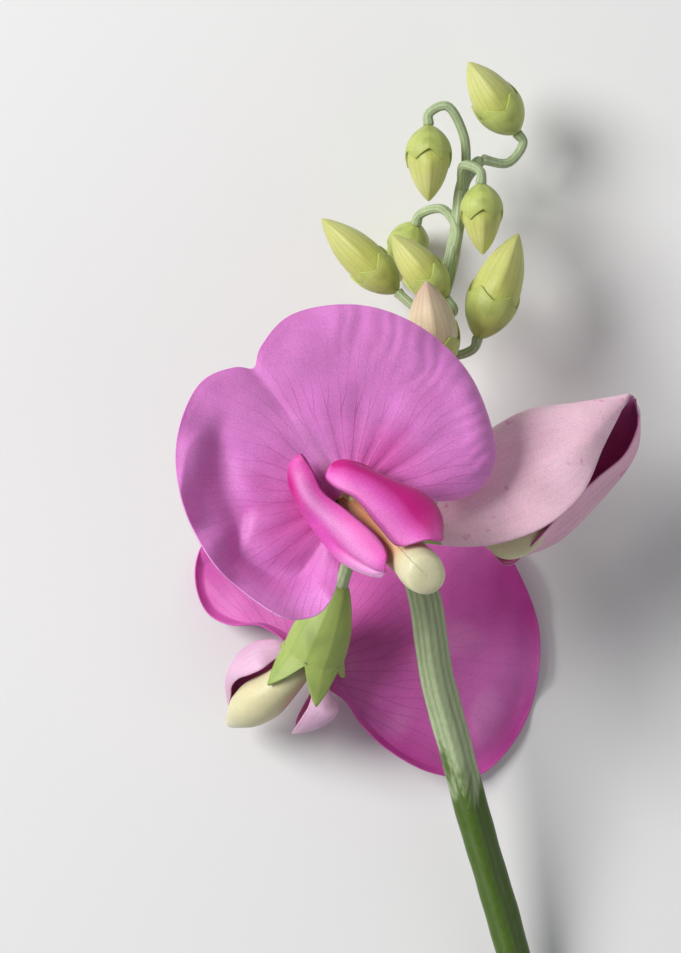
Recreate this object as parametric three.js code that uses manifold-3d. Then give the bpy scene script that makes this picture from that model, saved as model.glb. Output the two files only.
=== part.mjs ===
// A picked flower stalk of the perennial sweet pea, lying on a level surface:
// one ridged stem with three open flowers and eight buds.
// Millimetres, +Z up. The stalk lies along +Y with its cut end toward -Y, and the
// origin is under the middle of its bounding box, on the surface.

import * as THREE from "three";
import { mergeVertices } from "three/addons/utils/BufferGeometryUtils.js";
import Module from "manifold-3d";

const wasm = await Module();
wasm.setup();

// ---------------------------------------------------------------- driving sizes

const PETAL = 0.6;            // thickness of a petal or sepal blade
const GAP = 0.3;              // clearance between pieces that touch on the plant
const HALF_PETAL = PETAL / 2;

const STEM_RADIUS = 1.4;      // at the cut end
const RACHIS_RADIUS = 0.55;   // at the top bud
const STEM_RIDGE = 0.1;       // height of the stem's ridges, as a share of its radius
const STEM_RIDGES = 4;
const STEM_SIDES = 12;
const STEM_STEPS = 26;
const PEDICEL_RADIUS = 0.62;
const PEDICEL_SIDES = 6;
const PEDICEL_STEPS = 7;

const CALYX_LENGTH = 7.2;     // from its base to the mouth, where the teeth begin
const CALYX_RADIUS = 2.9;     // at the mouth, outside
const CALYX_TEETH = 5;
const TOOTH_POINTS = 4;       // points round an open calyx's rim for each tooth
const CALYX_NECK = 0.22;      // how full the cup is at its base, 0 to 1
const RIM_MARGIN = 0.25;      // the rim's own height between the teeth
const MOUTH_SLANT = 0.6;      // how far the dorsal side of the mouth lies behind the ventral

const STAMEN_RADIUS = 0.55;

// The bottom middle of the bounding box, in the frame that the places below are given in.
const ORIGIN = new THREE.Vector3(6.29, -12.27, 0);

const COLOURS = {
  stem: [0x8fa06a, 0.55],
  calyx: [0xa8bd62, 0.5],
  standard: [0xdd92d2, 0.6],
  wing: [0xd65cb4, 0.55],
  keel: [0xe6ddba, 0.5],
  stamens: [0xd9d49a, 0.6],
  bud: [0xd3d583, 0.5],
};

const group = new THREE.Group();

function vector(x, y, z) {
  return new THREE.Vector3(x, y, z);
}

function add(name, colourName, geometry) {
  const [color, roughness] = COLOURS[colourName];
  const material = new THREE.MeshStandardMaterial({ color, roughness, metalness: 0 });
  const mesh = new THREE.Mesh(geometry, material);
  mesh.name = name;
  mesh.position.copy(ORIGIN).negate();
  group.add(mesh);
}

// ---------------------------------------------------------------- solids from points

// The geometry of a closed body, turned so that its faces point out.
function closedBody(points, triangles) {
  let volume = 0;
  for (const [a, b, c] of triangles) {
    volume += points[a].dot(points[b].clone().cross(points[c]));
  }
  const index = triangles.flatMap(([a, b, c]) => (volume > 0 ? [a, b, c] : [a, c, b]));
  const geometry = new THREE.BufferGeometry().setFromPoints(points);
  geometry.setIndex(index);
  geometry.computeVertexNormals();
  return geometry;
}

// Rings of points joined one to the next, closed by a point at each end.
function loft(rings, first, last) {
  const count = rings[0].length;
  const points = [first, ...rings.flat(), last];
  const end = points.length - 1;
  const triangles = [];
  for (let j = 0; j < count; j += 1) {
    const next = (j + 1) % count;
    triangles.push([0, 1 + next, 1 + j]);
    for (let k = 0; k + 1 < rings.length; k += 1) {
      const here = 1 + k * count;
      const beyond = here + count;
      triangles.push([here + j, here + next, beyond + next]);
      triangles.push([here + j, beyond + next, beyond + j]);
    }
    triangles.push([end - count + j, end - count + next, end]);
  }
  return closedBody(points, triangles);
}

// A blade of even thickness about a grid of points. A grid that is closed has its
// last column beside its first, and a grid with a centre has a point inside row 0.
function blade(rows, { closed = false, centre = null, thickness = PETAL } = {}) {
  const rowCount = rows.length;
  const count = rows[0].length;
  const column = (j) => (closed ? (j + count) % count : THREE.MathUtils.clamp(j, 0, count - 1));
  const middle = rows.flat();
  const normals = rows.flatMap((row, i) => row.map((_, j) => {
    const inner = i > 0 ? rows[i - 1][j] : centre ?? rows[0][j];
    const outer = rows[Math.min(i + 1, rowCount - 1)][j];
    const along = outer.clone().sub(inner);
    const across = row[column(j + 1)].clone().sub(row[column(j - 1)]);
    return along.cross(across).normalize();
  }));
  const split = [];
  const columns = closed ? count : count - 1;
  for (let j = 0; j < columns; j += 1) {
    const next = column(j + 1);
    for (let i = 0; i + 1 < rowCount; i += 1) {
      const here = i * count;
      const beyond = here + count;
      split.push([here + j, beyond + j, beyond + next]);
      split.push([here + j, beyond + next, here + next]);
    }
  }
  if (centre) {
    const average = normals.slice(0, count).reduce((sum, n) => sum.add(n), vector(0, 0, 0));
    middle.push(centre);
    normals.push(average.normalize());
    for (let j = 0; j < count; j += 1) {
      split.push([middle.length - 1, j, column(j + 1)]);
    }
  }
  const size = middle.length;
  const points = [1, -1].flatMap((side) => middle.map(
    (p, i) => p.clone().addScaledVector(normals[i], side * thickness / 2)));
  const triangles = split.flatMap(([a, b, c]) => [[a, b, c], [size + a, size + c, size + b]]);
  const edges = new Map();
  for (const [a, b, c] of split) {
    for (const [from, to] of [[a, b], [b, c], [c, a]]) {
      edges.set(`${from},${to}`, [from, to]);
    }
  }
  for (const [from, to] of edges.values()) {
    if (!edges.has(`${to},${from}`)) {
      triangles.push([from, size + from, size + to]);
      triangles.push([from, size + to, to]);
    }
  }
  return closedBody(points, triangles);
}

function spline(points) {
  return new THREE.CatmullRomCurve3(points.map((p) => vector(...p)), false, "centripetal");
}

// Frames carried along a curve without turning, from a first side direction.
function carriedFrames(curve, steps, firstSide) {
  const frames = [];
  let side = firstSide.clone();
  for (let i = 0; i <= steps; i += 1) {
    const share = i / steps;
    const forward = curve.getTangentAt(share);
    side = side.addScaledVector(forward, -side.dot(forward)).normalize();
    frames.push({
      share,
      forward,
      point: curve.getPointAt(share),
      side: side.clone(),
      up: side.clone().cross(forward),
    });
  }
  return frames;
}

// A stalk along a curve: radiusAt(share, angle) gives its outline.
function stalk(points, radiusAt, steps, sides) {
  const frames = carriedFrames(spline(points), steps, vector(1, 0, 0));
  const rings = frames.map(({ share, point, side, up }) => {
    const ring = [];
    for (let j = 0; j < sides; j += 1) {
      const angle = 2 * Math.PI * j / sides;
      const radius = radiusAt(share, angle);
      ring.push(point.clone()
        .addScaledVector(side, radius * Math.cos(angle))
        .addScaledVector(up, radius * Math.sin(angle)));
    }
    return ring;
  });
  return loft(rings, frames[0].point, frames[steps].point);
}

// ---------------------------------------------------------------- joining and cutting

function toSolid(geometry) {
  const bare = geometry.clone();
  bare.deleteAttribute("normal");
  bare.deleteAttribute("uv");
  const merged = mergeVertices(bare, 1e-4);
  return new wasm.Manifold(new wasm.Mesh({
    numProp: 3,
    vertProperties: merged.attributes.position.array,
    triVerts: new Uint32Array(merged.index.array),
  }));
}

function toGeometry(solid) {
  const { vertProperties, triVerts } = solid.getMesh();
  const geometry = new THREE.BufferGeometry();
  geometry.setAttribute("position", new THREE.BufferAttribute(vertProperties, 3));
  geometry.setIndex(new THREE.BufferAttribute(triVerts, 1));
  geometry.computeVertexNormals();
  return geometry;
}

function joined(geometries) {
  return toGeometry(geometries.map(toSolid).reduce((whole, piece) => whole.add(piece)));
}

function cut(geometry, tool) {
  return toGeometry(toSolid(geometry).subtract(toSolid(tool)));
}

// ---------------------------------------------------------------- the flower's own frame

// side, forward and dorsal distances from the middle of the calyx mouth:
// forward runs along the keel, and dorsal toward the standard.
function flowerFrame(mouth, forwardWay, dorsalWay) {
  const origin = vector(...mouth);
  const forward = vector(...forwardWay).normalize();
  const dorsal = vector(...dorsalWay);
  dorsal.addScaledVector(forward, -dorsal.dot(forward)).normalize();
  const side = dorsal.clone().cross(forward);
  return (s, f, d) => origin.clone()
    .addScaledVector(side, s)
    .addScaledVector(forward, f)
    .addScaledVector(dorsal, d);
}

// ---------------------------------------------------------------- calyx

// How far a tooth stands past the mouth at this angle from the dorsal side.
// The dorsal teeth are short and the ventral one is the longest.
function toothLength(angle, shortest, longest) {
  const ventral = (1 - Math.cos(angle)) / 2;
  const length = THREE.MathUtils.lerp(shortest, longest, ventral);
  const phase = (angle * CALYX_TEETH / (2 * Math.PI)) % 1;
  const peak = 1 - 2 * Math.abs(phase - 0.5);
  return RIM_MARGIN + length * peak;
}

// How wide an open flower's cup is, over its width at the mouth.
function cupSwell(share) {
  return Math.sin(Math.PI / 2 * Math.min(1, CALYX_NECK + 0.8 * share));
}

// A toothed cup from its base, length behind the mouth, to the teeth before it.
// It leans: its base lies aside of the mouth's axis by [side, dorsal].
function calyx(place, form) {
  const { length, mouth, teeth, flare = 0.3, lean = [0, 0] } = form;
  const { swell = cupSwell, toothPoints = TOOTH_POINTS } = form;
  const points = CALYX_TEETH * toothPoints;
  const spot = (share, radius, angle, forward) => {
    const bend = (1 - share) ** 2;
    const p = place(
      radius * Math.sin(angle) + lean[0] * bend,
      forward,
      radius * Math.cos(angle) + lean[1] * bend);
    p.z = Math.max(p.z, 0);
    return p;
  };
  const ring = (share, inset, toothShare) => {
    const made = [];
    for (let j = 0; j < points; j += 1) {
      const angle = 2 * Math.PI * j / points;
      const tooth = toothShare * toothLength(angle, ...teeth);
      const radius = mouth * swell(share) - inset + flare * tooth;
      const slant = MOUTH_SLANT * share * (1 + Math.cos(angle)) / 2;
      made.push(spot(share, radius, angle, tooth - slant - length * (1 - share)));
    }
    return made;
  };
  const bottom = PETAL / length * 1.3;
  const shares = [0.02, 0.3, 0.65, 1];
  const outside = shares.map((share) => ring(share, 0, 0));
  const inside = shares.map((share) => ring(Math.max(share, bottom), PETAL, 0)).reverse();
  const rim = [ring(1, 0, 1), ring(1, PETAL, 1)];
  return loft(
    [...outside, ...rim, ...inside],
    spot(0, 0, 0, -length),
    spot(bottom, 0, 0, -length * (1 - bottom)));
}

// ---------------------------------------------------------------- standard

const STANDARD_RINGS = [0.3, 0.55, 0.78, 0.92, 1];
const STANDARD_POINTS = 44;
const CLAW_BLEND = { from: 1.1, to: 2.6 };   // where the blade grows free of its fold
const CLAW_HALF_WIDTH = 0.8;
const CLAW_LENGTH = 4.4;
const BLADE_BASE = { forward: 2.7, dorsal: 1.6 };   // where the claw meets the blade

function mirrored(half, otherWidth = 1) {
  const other = half.slice(1).map(([x, y]) => [-x * otherWidth, y]).reverse();
  return [...half, ...other];
}

const BLADE_MIDDLE = vector(0, 4, 0);
const LOBE_TURN = { across: 0.8, up: 1.8, from: 0, to: 4 };

// A point on the way from the blade's middle out to a point of its edge. The way to an
// edge beside the claw runs across first and then down, so that no two ways cross.
function onTheWay(edgePoint, share) {
  const straight = BLADE_MIDDLE.clone().lerp(edgePoint, 0.5);
  const turned = vector(LOBE_TURN.across * edgePoint.x, LOBE_TURN.up, 0);
  const low = 1 - THREE.MathUtils.smoothstep(edgePoint.y, LOBE_TURN.from, LOBE_TURN.to);
  const turn = straight.lerp(turned, low);
  return BLADE_MIDDLE.clone().multiplyScalar((1 - share) ** 2)
    .addScaledVector(turn, 2 * share * (1 - share))
    .addScaledVector(edgePoint, share ** 2);
}

// An open standard: its outline is in the flat blade, across and up from where the
// claw joins it, and toPlace bends the flat blade into the flower.
function openStandard(outline, toPlace) {
  const flat = new THREE.CatmullRomCurve3(
    outline.map(([x, y]) => vector(x, y, 0)), true, "centripetal");
  const edge = flat.getSpacedPoints(STANDARD_POINTS).slice(0, STANDARD_POINTS);
  const rows = STANDARD_RINGS.map((share) => edge.map((p) => {
    const q = onTheWay(p, share);
    return toPlace(q.x, q.y);
  }));
  return blade(rows, { closed: true, centre: toPlace(BLADE_MIDDLE.x, BLADE_MIDDLE.y) });
}

// A claw through [forward, dorsal] points: the strip that holds a standard in its calyx.
function clawStrip(place, path, halfWidth, steps) {
  const ribs = [-halfWidth, 0, halfWidth].map((across) => path.map(([f, d]) => [across, f, d]));
  return ribbedPetal((p) => place(p.x, p.y, p.z), ribs, steps, 2);
}

// The claw of an open standard runs straight back from the foot of its blade.
function straightClaw(place) {
  const { forward, dorsal } = BLADE_BASE;
  const path = [[forward - CLAW_LENGTH, dorsal], [forward - CLAW_LENGTH / 2, dorsal], [forward, dorsal]];
  return clawStrip(place, path, CLAW_HALF_WIDTH, 2);
}

// The blade turns back from the claw by the reflex angle and round its own normal by
// the twist. The claw runs straight back into the calyx. No part lies under the surface.
function bladePlace(place, reflex, twist, heightAt) {
  const rise = Math.sin(reflex);
  const back = Math.cos(reflex);
  return (x, y) => {
    const free = THREE.MathUtils.smoothstep(Math.abs(x), CLAW_BLEND.from, CLAW_BLEND.to);
    const claw = Math.max(0, -y) * (1 - free);
    const height = heightAt(x, y) * Math.min(1, free + Math.max(0, y) / 3);
    const up = (y + claw) * Math.cos(twist) - x * Math.sin(twist);
    const across = (y + claw) * Math.sin(twist) + x * Math.cos(twist);
    const p = place(
      across,
      BLADE_BASE.forward - up * back + height * rise - claw,
      BLADE_BASE.dorsal + up * rise + height * back);
    p.z = Math.max(p.z, HALF_PETAL);
    return p;
  };
}

// ---------------------------------------------------------------- ribbed petals

// A petal through an odd number of ribs that run along it. Each three neighbours
// carry one curved strip, and the first of the next strip is the last of this one.
function ribbedPetal(toPlace, ribs, steps, spans) {
  const curves = ribs.map(spline);
  const rows = [];
  for (let i = 0; i <= steps; i += 1) {
    const on = curves.map((c) => c.getPoint(i / steps));
    const row = [];
    for (let start = 0; start + 2 < on.length; start += 2) {
      for (let j = start > 0 ? 1 : 0; j <= spans; j += 1) {
        const v = j / spans;
        const p = on[start].clone().multiplyScalar(2 * v * v - 3 * v + 1)
          .addScaledVector(on[start + 1], 4 * v - 4 * v * v)
          .addScaledVector(on[start + 2], 2 * v * v - v);
        row.push(toPlace(p));
      }
    }
    rows.push(row);
  }
  return blade(rows);
}

const WING_STEPS = 10;
const WING_SPANS = 4;

function wing(place, ribs, hand) {
  const steps = Math.max(WING_STEPS, ribs[0].length - 1);
  return ribbedPetal((p) => place(hand * p.x, p.y, p.z), ribs, steps, WING_SPANS);
}

// ---------------------------------------------------------------- keel and stamens

const KEEL_STEPS = 9;
const KEEL_SIDES = 14;
const KEEL_OVERRUN = 20;      // carries the hollow out past the keel's open base
const KEEL_SLIT = 0.7;

// Each line point is [forward, dorsal, half width, half depth]. The keel is a boat
// that turns up to a blunt beak, open in a slit along its dorsal edge.
function keel(place, line) {
  const middle = spline(line.map(([f, d]) => [0, f, d]));
  const sizes = spline(line.map(([, , width, depth]) => [0, width, depth]));
  const section = (share, wall, slit) => {
    const on = Math.max(0, share);
    const way = middle.getTangent(on);
    const point = middle.getPoint(on).addScaledVector(way, (share - on) * KEEL_OVERRUN);
    const size = sizes.getPoint(on);
    const width = Math.max(0.2, size.y - wall);
    const depth = Math.max(0.2, size.z - wall);
    const ring = [];
    for (let j = 0; j < KEEL_SIDES; j += 1) {
      const angle = 2 * Math.PI * j / KEEL_SIDES;
      const inSlit = slit && Math.min(j, KEEL_SIDES - j) <= 1;
      const slitSide = j > 1 ? -1 : j;
      const across = inSlit ? slitSide * KEEL_SLIT / 2 : width * Math.sin(angle);
      const up = inSlit ? size.z + KEEL_SLIT / 2 : depth * Math.cos(angle);
      ring.push(place(across, point.y - up * way.z, point.z + up * way.y));
    }
    return ring;
  };
  const body = (from, to, wall, slit) => {
    const rings = [];
    for (let i = 0; i <= KEEL_STEPS; i += 1) {
      rings.push(section(THREE.MathUtils.lerp(from, to, i / KEEL_STEPS), wall, slit));
    }
    const middleOf = (ring) => {
      const sum = ring.reduce((total, p) => total.add(p), vector(0, 0, 0));
      return sum.divideScalar(KEEL_SIDES);
    };
    return loft(rings, middleOf(rings[0]), middleOf(rings[KEEL_STEPS]));
  };
  return cut(body(0, 1, 0, false), body(-0.02, 0.93, PETAL, true));
}

// The tube of stamens round the style, which lies in the keel and turns up with it.
function stamenTube(place, line) {
  const points = line.map(([f, d]) => place(0, f, d).toArray());
  return stalk(points, (share) => STAMEN_RADIUS * (1 - 0.35 * share), 12, 6);
}

// ---------------------------------------------------------------- open flowers

const stalks = [];            // every stalk, joined into one stem at the end

// A pedicel from the rachis to GAP short of a calyx base, which it meets head on.
function pedicel(points, base, behind, radius = PEDICEL_RADIUS) {
  const reach = (distance) => base.clone().lerp(behind, distance).toArray();
  stalks.push(stalk([...points, reach(1), reach(GAP)], () => radius, PEDICEL_STEPS, PEDICEL_SIDES));
}

function openFlower(name, form) {
  const { place, calyxForm, standard, wings, keelLine, stamenLine, pedicelPoints } = form;
  add(`calyx_${name}`, "calyx", calyx(place, calyxForm));
  add(`standard_${name}`, "standard", standard);
  add(`wing_a_${name}`, "wing", wing(place, wings[0], 1));
  add(`wing_b_${name}`, "wing", wing(place, wings[1], -1));
  add(`keel_${name}`, "keel", keel(place, keelLine));
  add(`stamens_${name}`, "stamens", stamenTube(place, stamenLine));
  const lean = calyxForm.lean ?? [0, 0];
  const base = place(lean[0], -calyxForm.length, lean[1]);
  const onward = place(lean[0] * 1.28, -calyxForm.length - 1, lean[1] * 1.28);
  pedicel(pedicelPoints, base, onward);
}

// The front flower faces up out of the spray, its keel 38 degrees above level.
const front = flowerFrame([-0.3, -0.5, 21.8], [0.544, -0.567, 0.616], [-0.426, 0.444, 0.788]);

// Half width and height of the blade, from the notch round to where the claw joins.
const FRONT_OUTLINE = [
  [0, 13.4], [1.4, 14.4], [4.8, 15.2], [8.6, 13.9], [12.0, 11.2], [14.4, 7.0], [15.2, 2.1],
  [14.2, -2.4], [12.4, -5.6], [9.8, -6.8], [7.0, -5.7], [5.2, -3.0], [4.0, -0.4], [2.6, 0.6],
  [1.3, 0.1], [0.5, -0.1],
];

const FRONT_LOBE_RATIO = 0.87;   // one lobe's width over the other's
const FRONT_REFLEX = THREE.MathUtils.degToRad(42);
const FRONT_TWIST = THREE.MathUtils.degToRad(7);

// A shallow dish with a creased midline, one margin turned up.
function frontHeight(x, y) {
  const reach = Math.hypot(x, y - 3) / 14;
  const curl = Math.max(0, -x - 8) / 7;
  const crease = 0.2 * Math.exp(-x * x / 3);
  return 0.9 * reach * reach + 1.2 * curl * curl - crease;
}

const FRONT_UPPER_WING = [
  [[1.7, -1.4, 0.6], [1.7, 0.8, 0.6], [1.7, 3.1, 1.2], [1.0, 3.1, 4.0], [0.5, 3.6, 5.2],
    [0.45, 6.0, 4.5], [0.6, 9.6, 3.6], [0.9, 11.6, 2.8], [1.8, 12.8, 1.7]],
  [[1.8, -1.4, 0.0], [1.8, 0.8, 0.0], [2.1, 3.3, 0.2], [2.9, 3.9, 3.2], [3.8, 5.1, 3.1],
    [4.4, 7.2, 2.0], [4.2, 9.6, 1.2], [3.6, 11.2, 0.9], [2.7, 12.8, 0.8]],
  [[1.75, -1.4, -0.6], [1.75, 0.8, -0.6], [2.0, 3.2, -0.9], [2.4, 4.2, -1.6], [2.5, 5.4, -2.2],
    [2.5, 7.4, -2.6], [2.6, 9.6, -2.4], [2.7, 11.4, -1.5], [2.6, 12.8, -0.1]],
];

// The other wing rides lower, with its shoulder lying back over the standard.
const FRONT_LOWER_WING = [
  [[1.7, -1.4, 0.6], [1.7, 0.8, 0.6], [1.75, 3.1, 1.2], [1.5, 3.4, 2.5], [0.9, 1.4, 4.65],
    [0.5, 0.2, 5.75], [0.5, 0.45, 6.8], [0.8, 1.9, 5.95], [1.4, 3.3, 4.7], [1.0, 5.8, 3.4],
    [0.65, 9.6, 2.7], [1.1, 11.4, 2.3], [1.7, 11.9, 1.6]],
  [[1.8, -1.4, 0.0], [1.8, 0.8, 0.0], [2.2, 3.4, 0.3], [2.5, 3.5, 2.3], [2.4, 2.2, 3.6],
    [2.5, 1.1, 4.5], [3.0, 0.8, 5.4], [3.8, 1.7, 5.3], [4.5, 3.0, 4.2], [4.6, 4.4, 2.6],
    [4.5, 6.9, 0.8], [3.3, 10.2, 0.3], [2.4, 11.5, 0.9]],
  [[1.75, -1.4, -0.6], [1.75, 0.8, -0.6], [2.1, 3.3, -0.8], [2.7, 4.0, 0.2], [3.0, 4.2, 0.8],
    [3.3, 4.3, 1.3], [3.7, 4.5, 1.5], [4.0, 4.9, 1.2], [4.0, 5.3, 0.6], [3.8, 5.9, -0.2],
    [3.2, 7.2, -1.3], [2.6, 9.6, -1.3], [2.5, 11.2, 0.2]],
];

const FRONT_KEEL = [
  [-2.2, -1.0, 0.85, 0.65], [0, -1.0, 0.95, 0.75], [2.4, -1.1, 1.3, 1.6], [5.4, -1.0, 1.6, 2.4],
  [8.6, -0.8, 1.8, 2.7], [11.6, -0.3, 1.9, 2.4], [13.6, 0.8, 1.7, 2.0], [14.6, 2.0, 1.1, 1.3],
  [14.9, 2.8, 0.5, 0.6],
];

const FRONT_STAMENS = [
  [-4.2, 0.3], [-1.0, 0.4], [2.0, 0.4], [6.0, 0.1], [9.6, 0.0], [12.0, 0.6], [13.2, 1.4],
];

openFlower("front", {
  place: front,
  calyxForm: { length: CALYX_LENGTH, mouth: CALYX_RADIUS, teeth: [0.4, 3.6] },
  standard: joined([
    openStandard(
      mirrored(FRONT_OUTLINE, FRONT_LOBE_RATIO),
      bladePlace(front, FRONT_REFLEX, FRONT_TWIST, frontHeight)),
    straightClaw(front),
  ]),
  wings: [FRONT_UPPER_WING, FRONT_LOWER_WING],
  keelLine: FRONT_KEEL,
  stamenLine: FRONT_STAMENS,
  pedicelPoints: [[5.1, 2.2, 12.3], [0.9, 4.6, 12.5], [-3.6, 5.8, 13.2]],
});

// The low flower hangs face down: it shows the back of its standard and of its keel,
// and both lobes of the standard lie on the surface.
const low = flowerFrame([-2.5, -16.3, 8.6], [-0.61, -0.71, -0.342], [0.1, -0.1, -1]);

const LOW_OUTLINE = [
  [-1.0, 20.8], [-3.7, 21.7], [-7.5, 20.9], [-12.8, 18.3], [-16.8, 13.3], [-18.3, 8.4], [-17.9, 4.5],
  [-14.7, 1.7], [-10.3, 0.4], [-7.1, 0.4], [-4.8, 0.9], [-3.0, 0.6], [-1.3, 0.1], [-0.5, -0.1],
  [0.5, -0.1], [1.3, 0.1], [3.2, 0.9], [6.1, 0.3], [7.9, -1.4], [10.2, -2.1],
  [12.6, -1.3], [14.8, 0.8], [16.3, 4.8], [15.6, 10.4], [12.0, 16.4], [6.2, 20.4], [1.6, 20.4],
];

const LOW_REFLEX = THREE.MathUtils.degToRad(24);
const CALYX_CLEARANCE = 1.4;  // the turned-back blade arches over the calyx rim

// Both lobes droop until they lie on the surface.
function lowHeight(x, y) {
  const droop = x < 0 ? 5.0 : 3.6;
  return CALYX_CLEARANCE + droop * (x / 16) ** 2 + 0.006 * y * y;
}

const LOW_WING_RIBS = [
  [[1.7, -1.4, 0.6], [1.7, 0.8, 0.6], [1.7, 2.9, 1.0], [1.6, 3.4, 2.6], [1.9, 4.2, 2.6],
    [2.2, 5.6, 2.4], [2.6, 6.9, 2.2], [3.0, 7.6, 2.0]],
  [[1.8, -1.4, 0.0], [1.8, 0.8, 0.0], [2.3, 2.6, 0.0], [3.9, 3.4, 0.4], [5.2, 4.1, 0.2],
    [5.6, 5.6, 0.0], [5.0, 7.2, 0.2], [3.7, 8.1, 0.8]],
  [[1.75, -1.4, -0.6], [1.75, 0.8, -0.6], [2.2, 2.6, -1.0], [3.2, 3.3, -1.8], [3.9, 4.4, -2.2],
    [4.0, 5.6, -2.1], [3.7, 7.0, -1.2], [3.3, 8.0, 0.2]],
];

const LOW_KEEL = [
  [-2.2, -1.0, 0.85, 0.65], [0, -1.0, 0.95, 0.75], [2.0, -1.0, 1.4, 1.5], [4.2, -0.9, 1.8, 2.2],
  [6.4, -0.6, 1.9, 2.2], [8.2, 0.0, 1.7, 1.9], [9.4, 0.8, 1.4, 1.5], [10.1, 1.7, 0.9, 1.0],
  [10.3, 2.3, 0.5, 0.6],
];

const LOW_STAMENS = [
  [-4.2, 0.3], [-1.0, 0.4], [2.0, 0.3], [4.8, 0.1], [7.0, 0.2], [8.5, 0.7], [9.1, 1.2],
];

openFlower("low", {
  place: low,
  calyxForm: { length: CALYX_LENGTH, mouth: CALYX_RADIUS, teeth: [0.4, 3.2], flare: 0.42, lean: [1.7, 0] },
  standard: joined([
    openStandard(LOW_OUTLINE, bladePlace(low, LOW_REFLEX, 0, lowHeight)),
    straightClaw(low),
  ]),
  wings: [LOW_WING_RIBS, LOW_WING_RIBS],
  keelLine: LOW_KEEL,
  stamenLine: LOW_STAMENS,
  pedicelPoints: [[6.3, -7.6, 13.4], [3.6, -6.6, 13.2], [1.4, -6.6, 12.6]],
});

// The half-open flower: its standard is still folded along the midline like a clam.
const side = flowerFrame([11.6, -3.9, 15.2], [0.98, 0.1, 0], [-0.1, 0.98, 0]);

// Ribs of the folded standard from the upper margin over the fold to the lower margin.
const SIDE_RIBS = [
  [[9.0, -6.1, 18.6], [11.6, -6.2, 19.6], [14.4, -5.8, 20.2], [18.2, -4.3, 20.6], [21.3, -1.5, 20.2],
    [23.3, 2.7, 18.6], [25.2, 6.2, 16.6]],
  [[8.6, -3.9, 19.0], [10.4, -2.4, 19.8], [13.2, -0.9, 20.4], [16.7, 0.6, 20.6], [20.4, 2.6, 20.0],
    [23.0, 4.6, 18.6], [25.5, 6.9, 16.2]],
  [[9.0, 0.1, 16.2], [11.0, 1.9, 16.6], [13.4, 4.0, 17.0], [16.6, 5.7, 17.2], [20.9, 6.4, 17.0],
    [23.8, 6.9, 16.4], [25.9, 7.3, 15.5]],
  [[9.0, -0.6, 12.6], [11.2, 0.6, 11.4], [13.8, 1.8, 10.6], [17.0, 3.0, 10.4], [21.3, 4.2, 10.8],
    [24.6, 5.6, 12.4], [26.3, 7.1, 14.6]],
  [[9.0, -3.6, 11.2], [12.0, -3.4, 9.6], [14.8, -2.8, 8.4], [18.2, -1.6, 8.0], [22.6, 0.6, 8.6],
    [25.8, 3.6, 10.8], [26.6, 6.6, 14.1]],
  [[9.2, -6.4, 12.2], [12.6, -7.2, 11.0], [15.6, -7.8, 11.0], [19.2, -6.0, 10.4], [23.2, -2.4, 10.4],
    [26.6, 2.2, 12.0], [26.8, 6.0, 14.4]],
  [[9.4, -7.6, 13.4], [12.6, -8.3, 13.8], [15.4, -8.3, 15.0], [17.3, -5.9, 16.4], [20.2, -2.6, 17.0],
    [22.9, -0.1, 16.6], [25.4, 2.0, 15.8], [26.6, 4.4, 15.4], [26.7, 5.4, 15.3]],
];

// Its claw: from inside the calyx up to the fold.
const SIDE_CLAW_PATH = [[-1.6, 1.5], [1.2, 1.5], [2.4, 2.2], [2.6, 4.4], [2.0, 6.4], [1.6, 8.2]];
const SIDE_CLAW_HALF_WIDTH = 0.9;

function sideStandard() {
  const folded = ribbedPetal((p) => p, SIDE_RIBS, 14, 4);
  return joined([folded, clawStrip(side, SIDE_CLAW_PATH, SIDE_CLAW_HALF_WIDTH, 8)]);
}

const SIDE_WING_RIBS = [
  [[1.7, -1.4, 0.6], [1.7, 0.8, 0.6], [1.6, 2.6, 1.2], [1.5, 4.2, 3.0], [1.4, 6.4, 4.6],
    [1.3, 8.8, 5.8], [1.2, 10.8, 6.0]],
  [[1.8, -1.4, 0.0], [1.8, 0.8, 0.0], [2.0, 2.8, 0.2], [2.6, 4.6, 1.2], [2.9, 6.8, 2.6],
    [2.6, 9.2, 4.0], [1.8, 11.2, 5.2]],
  [[1.75, -1.4, -0.6], [1.75, 0.8, -0.6], [2.0, 2.8, -0.9], [2.4, 4.6, -1.0], [2.6, 7.2, 0.0],
    [2.4, 9.6, 2.2], [1.9, 11.2, 4.2]],
];

const SIDE_KEEL = [
  [-2.2, -1.0, 0.85, 0.65], [0, -1.0, 0.95, 0.75], [2.0, -1.1, 1.25, 1.4], [3.4, -1.4, 1.35, 1.8],
  [4.7, -0.9, 1.3, 1.7], [5.7, 0.1, 1.2, 1.5], [6.3, 1.3, 1.0, 1.2], [6.5, 2.3, 0.75, 0.9],
  [6.6, 3.0, 0.45, 0.5],
];

const SIDE_STAMENS = [
  [-4.2, 0.3], [-1.0, 0.3], [1.4, -0.1], [3.2, -0.5], [4.3, -0.2], [5.1, 0.5], [5.4, 1.3],
];

openFlower("side", {
  place: side,
  calyxForm: { length: CALYX_LENGTH, mouth: CALYX_RADIUS, teeth: [0.4, 1.6], lean: [-1.5, 0] },
  standard: sideStandard(),
  wings: [SIDE_WING_RIBS, SIDE_WING_RIBS],
  keelLine: SIDE_KEEL,
  stamenLine: SIDE_STAMENS,
  pedicelPoints: [[5.6, -5.6, 12.7], [3.4, -5.6, 13.7], [1.9, -5.2, 15.4]],
});

// ---------------------------------------------------------------- buds

const BUD_SIDES = 10;
const BUD_STEPS = 8;
const BUD_TOOTH_POINTS = 2;
const BUD_FLATNESS = 0.86;    // its width over its depth, keel to back
const BUD_SEPAL_LIFT = 0.25;  // how far the calyx stands out over the folded petals
const BUD_BEAK = 0.5;         // how far the tip is turned toward the dorsal side
const BUD_PEDICEL_RADIUS = 0.5;
const BUD_TEETH = [0.8, 1.6];

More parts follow.
